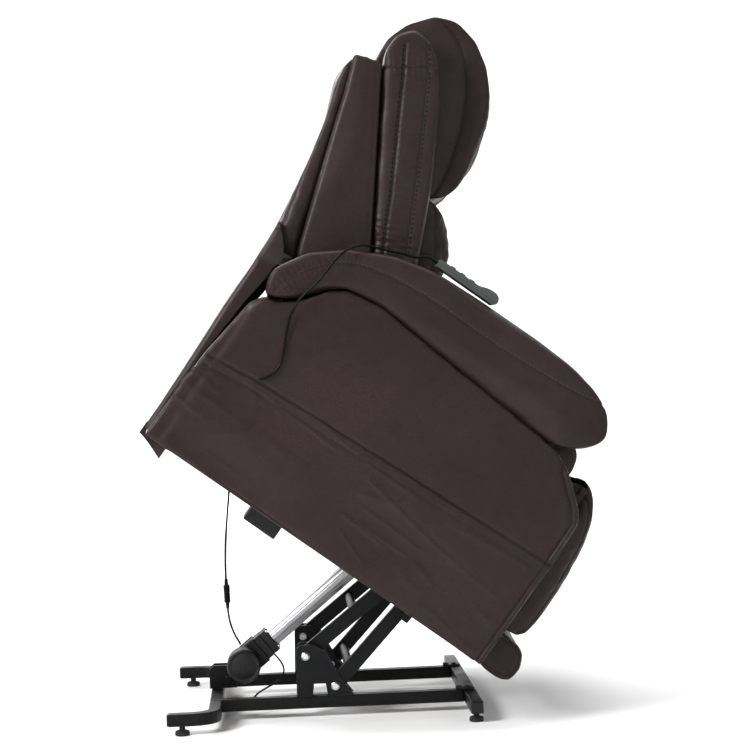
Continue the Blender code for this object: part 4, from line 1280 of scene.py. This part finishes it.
GEARBOX_LEAD_ROUTE = [
    (-0.2239, -0.02, 0.1127), (-0.215, -0.02, 0.102), (-0.2075, -0.0202, 0.0895),
    (-0.205, -0.0208, 0.0775), (-0.2085, -0.0225, 0.0665), (-0.216, -0.027, 0.058),
    (-0.229, -0.037, 0.0515), (-0.245, -0.055, 0.0465), (-0.26, -0.078, 0.0415),
    (-0.269, -0.1, 0.0368), (-0.277, -0.117, 0.033), (-0.2845, -0.1252, 0.031),
    (-0.2921, -0.1262, 0.0305),
]
BASE = Matrix.Translation((BASE_X, 0.0, 0.0))


def tube_mesh(name, route, diameter, sides=14):
    """A round tube with closed ends along a route."""
    verts, faces = [], []
    across = (route[1] - route[0]).orthogonal().normalized()
    for i, point in enumerate(route):
        ahead = (route[min(i + 1, len(route) - 1)] - route[max(i - 1, 0)]).normalized()
        across = (across - across.dot(ahead) * ahead).normalized()
        other = ahead.cross(across)
        for k in range(sides):
            turn = 2 * math.pi * k / sides
            verts.append(point + diameter / 2 * (math.cos(turn) * across + math.sin(turn) * other))
    for i in range(len(route) - 1):
        for k in range(sides):
            a, b = i * sides + k, i * sides + (k + 1) % sides
            faces.append((a, b, b + sides, a + sides))
    faces.append([k for k in reversed(range(sides))])
    faces.append([(len(route) - 1) * sides + k for k in range(sides)])
    mesh = bpy.data.meshes.new(name)
    mesh.from_pydata([tuple(v) for v in verts], [], faces)
    mesh.shade_smooth()
    mesh.set_sharp_from_angle(angle=math.radians(50))
    return link(name, mesh)


def free_cord(name, node, points, diameter, body, matrix, spacing=0.006):
    """A cord along a smooth curve through its set points."""
    route = [matrix @ p for p in smooth_route(points, spacing)]
    obj = tube_mesh(name, route, diameter)
    settle(obj, body, "cord_rubber")
    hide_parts(node)
    return obj


def lead_connector():
    """In-line connector on the hanging lead: tapered boots and a ribbed middle."""
    top, bottom = (BASE @ Vector(p) for p in CONNECTOR_ENDS)
    length = (bottom - top).length
    bore = 0.00235
    profile = [(0.0, bore), (0.0, 0.0034), (0.009, 0.0040), (0.0125, 0.0044), (0.0132, 0.0066)]
    profile += [(0.0150, 0.0068), (0.0285, 0.0068), (0.0290, 0.0060), (0.0305, 0.0060), (0.0310, 0.0068)]
    for k in range(5):
        at = 0.0330 + 0.0026 * k
        profile += [(at, 0.0068), (at + 0.0004, 0.0062), (at + 0.0013, 0.0062), (at + 0.0017, 0.0068)]
    profile += [(length - 0.0148, 0.0068), (length - 0.0132, 0.0062), (length - 0.0125, 0.0044)]
    profile += [(length - 0.009, 0.0040), (length, 0.0034), (length, bore), (0.0, bore)]
    bm = lathe(top, bottom - top, profile, 40)
    weld(bm)
    obj = from_bmesh("connector", bm)
    settle(obj, "base", "cord_rubber")
    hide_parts("lead_connector")
    return obj


def cords():
    connector = lead_connector()
    free_cord("handset_flex", "handset_cord", HANDSET_ROUTE, HANDSET_CORD, "chair", CHAIR)
    lead = free_cord(
        "motor_flex", "motor_lead", MOTOR_LEAD_ROUTE, LEAD, "base", BASE
    )
    short = free_cord(
        "gearbox_flex", "gearbox_lead", GEARBOX_LEAD_ROUTE, GEARBOX_LEAD, "base", BASE, 0.004
    )
    for piece in (lead, connector):
        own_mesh(piece)
    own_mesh(short)


# ---------------------------------------------------------------- stage
def stage():
    """A pale floor that curves up into a wide round wall, open at the top, and soft lights."""
    profile = [(0.0, 0.0), (0.0, 9.0)]
    turns = [math.radians(10 * k) for k in range(1, 10)]
    profile += [(2.5 * (1 - math.cos(t)), 9.0 + 2.5 * math.sin(t)) for t in turns]
    profile += [(9.0, 11.5)]
    floor = from_bmesh("floor", lathe((0, 0, 0), (0, 0, 1), profile, 96), 80.0)
    floor.data.materials.append(floor_material())
    world = bpy.data.worlds.new("studio")
    bpy.context.scene.world = world
    world.use_nodes = True
    world.node_tree.nodes["Background"].inputs["Color"].default_value = (1.0, 1.0, 1.0, 1.0)
    world.node_tree.nodes["Background"].inputs["Strength"].default_value = 0.55
    middle = (0.0, 0.0, 0.7)
    soft_light("key", (-3.2, -2.4, 3.0), middle, 1.8, 260.0)
    soft_light("fill", (2.6, -3.4, 1.8), middle, 2.6, 15.0)
    soft_light("back", (-1.8, 3.2, 3.0), middle, 2.4, 110.0)
    soft_light("top", (0.3, 0.0, 4.2), middle, 3.0, 110.0)
    soft_light("wall", (0.0, 4.2, 2.6), (0.0, 12.0, 2.0), 4.0, 420.0)


def soft_light(name, at, toward, size, power):
    data = bpy.data.lights.new(name, "AREA")
    data.shape = "DISK"
    data.size = size
    data.energy = power
    light = bpy.data.objects.new(name, data)
    bpy.context.scene.collection.objects.link(light)
    light.location = at
    light.rotation_euler = (Vector(toward) - Vector(at)).to_track_quat("-Z", "Y").to_euler()


# ---------------------------------------------------------------- assembly
def main():
    bpy.context.scene.view_settings.view_transform = "Standard"
    make_camera()
    finish_cad_nodes()
    cords()

    panel = arm_panel()
    mirrored(panel, "arm_panel_left", "arm_body_left")
    roll, thread = arm_roll()
    mirrored(roll, "arm_roll_left", "arm_pad_left")
    mirrored(thread, "arm_stitches_left")
    wing_shell()
    outside_back()
    side, thread = bolster()
    mirrored(side, "bolster_left", "side_bolster_left")
    mirrored(thread, "bolster_stitches_left")
    head_pillow()
    lumbar()
    lower_back()
    seat()
    footrest_pads()
    back_flap()

    motor()
    gearbox()
    actuator_tube()
    base_trim()
    bracket_fillets()
    handset()
    buttons()
    stage()


main()
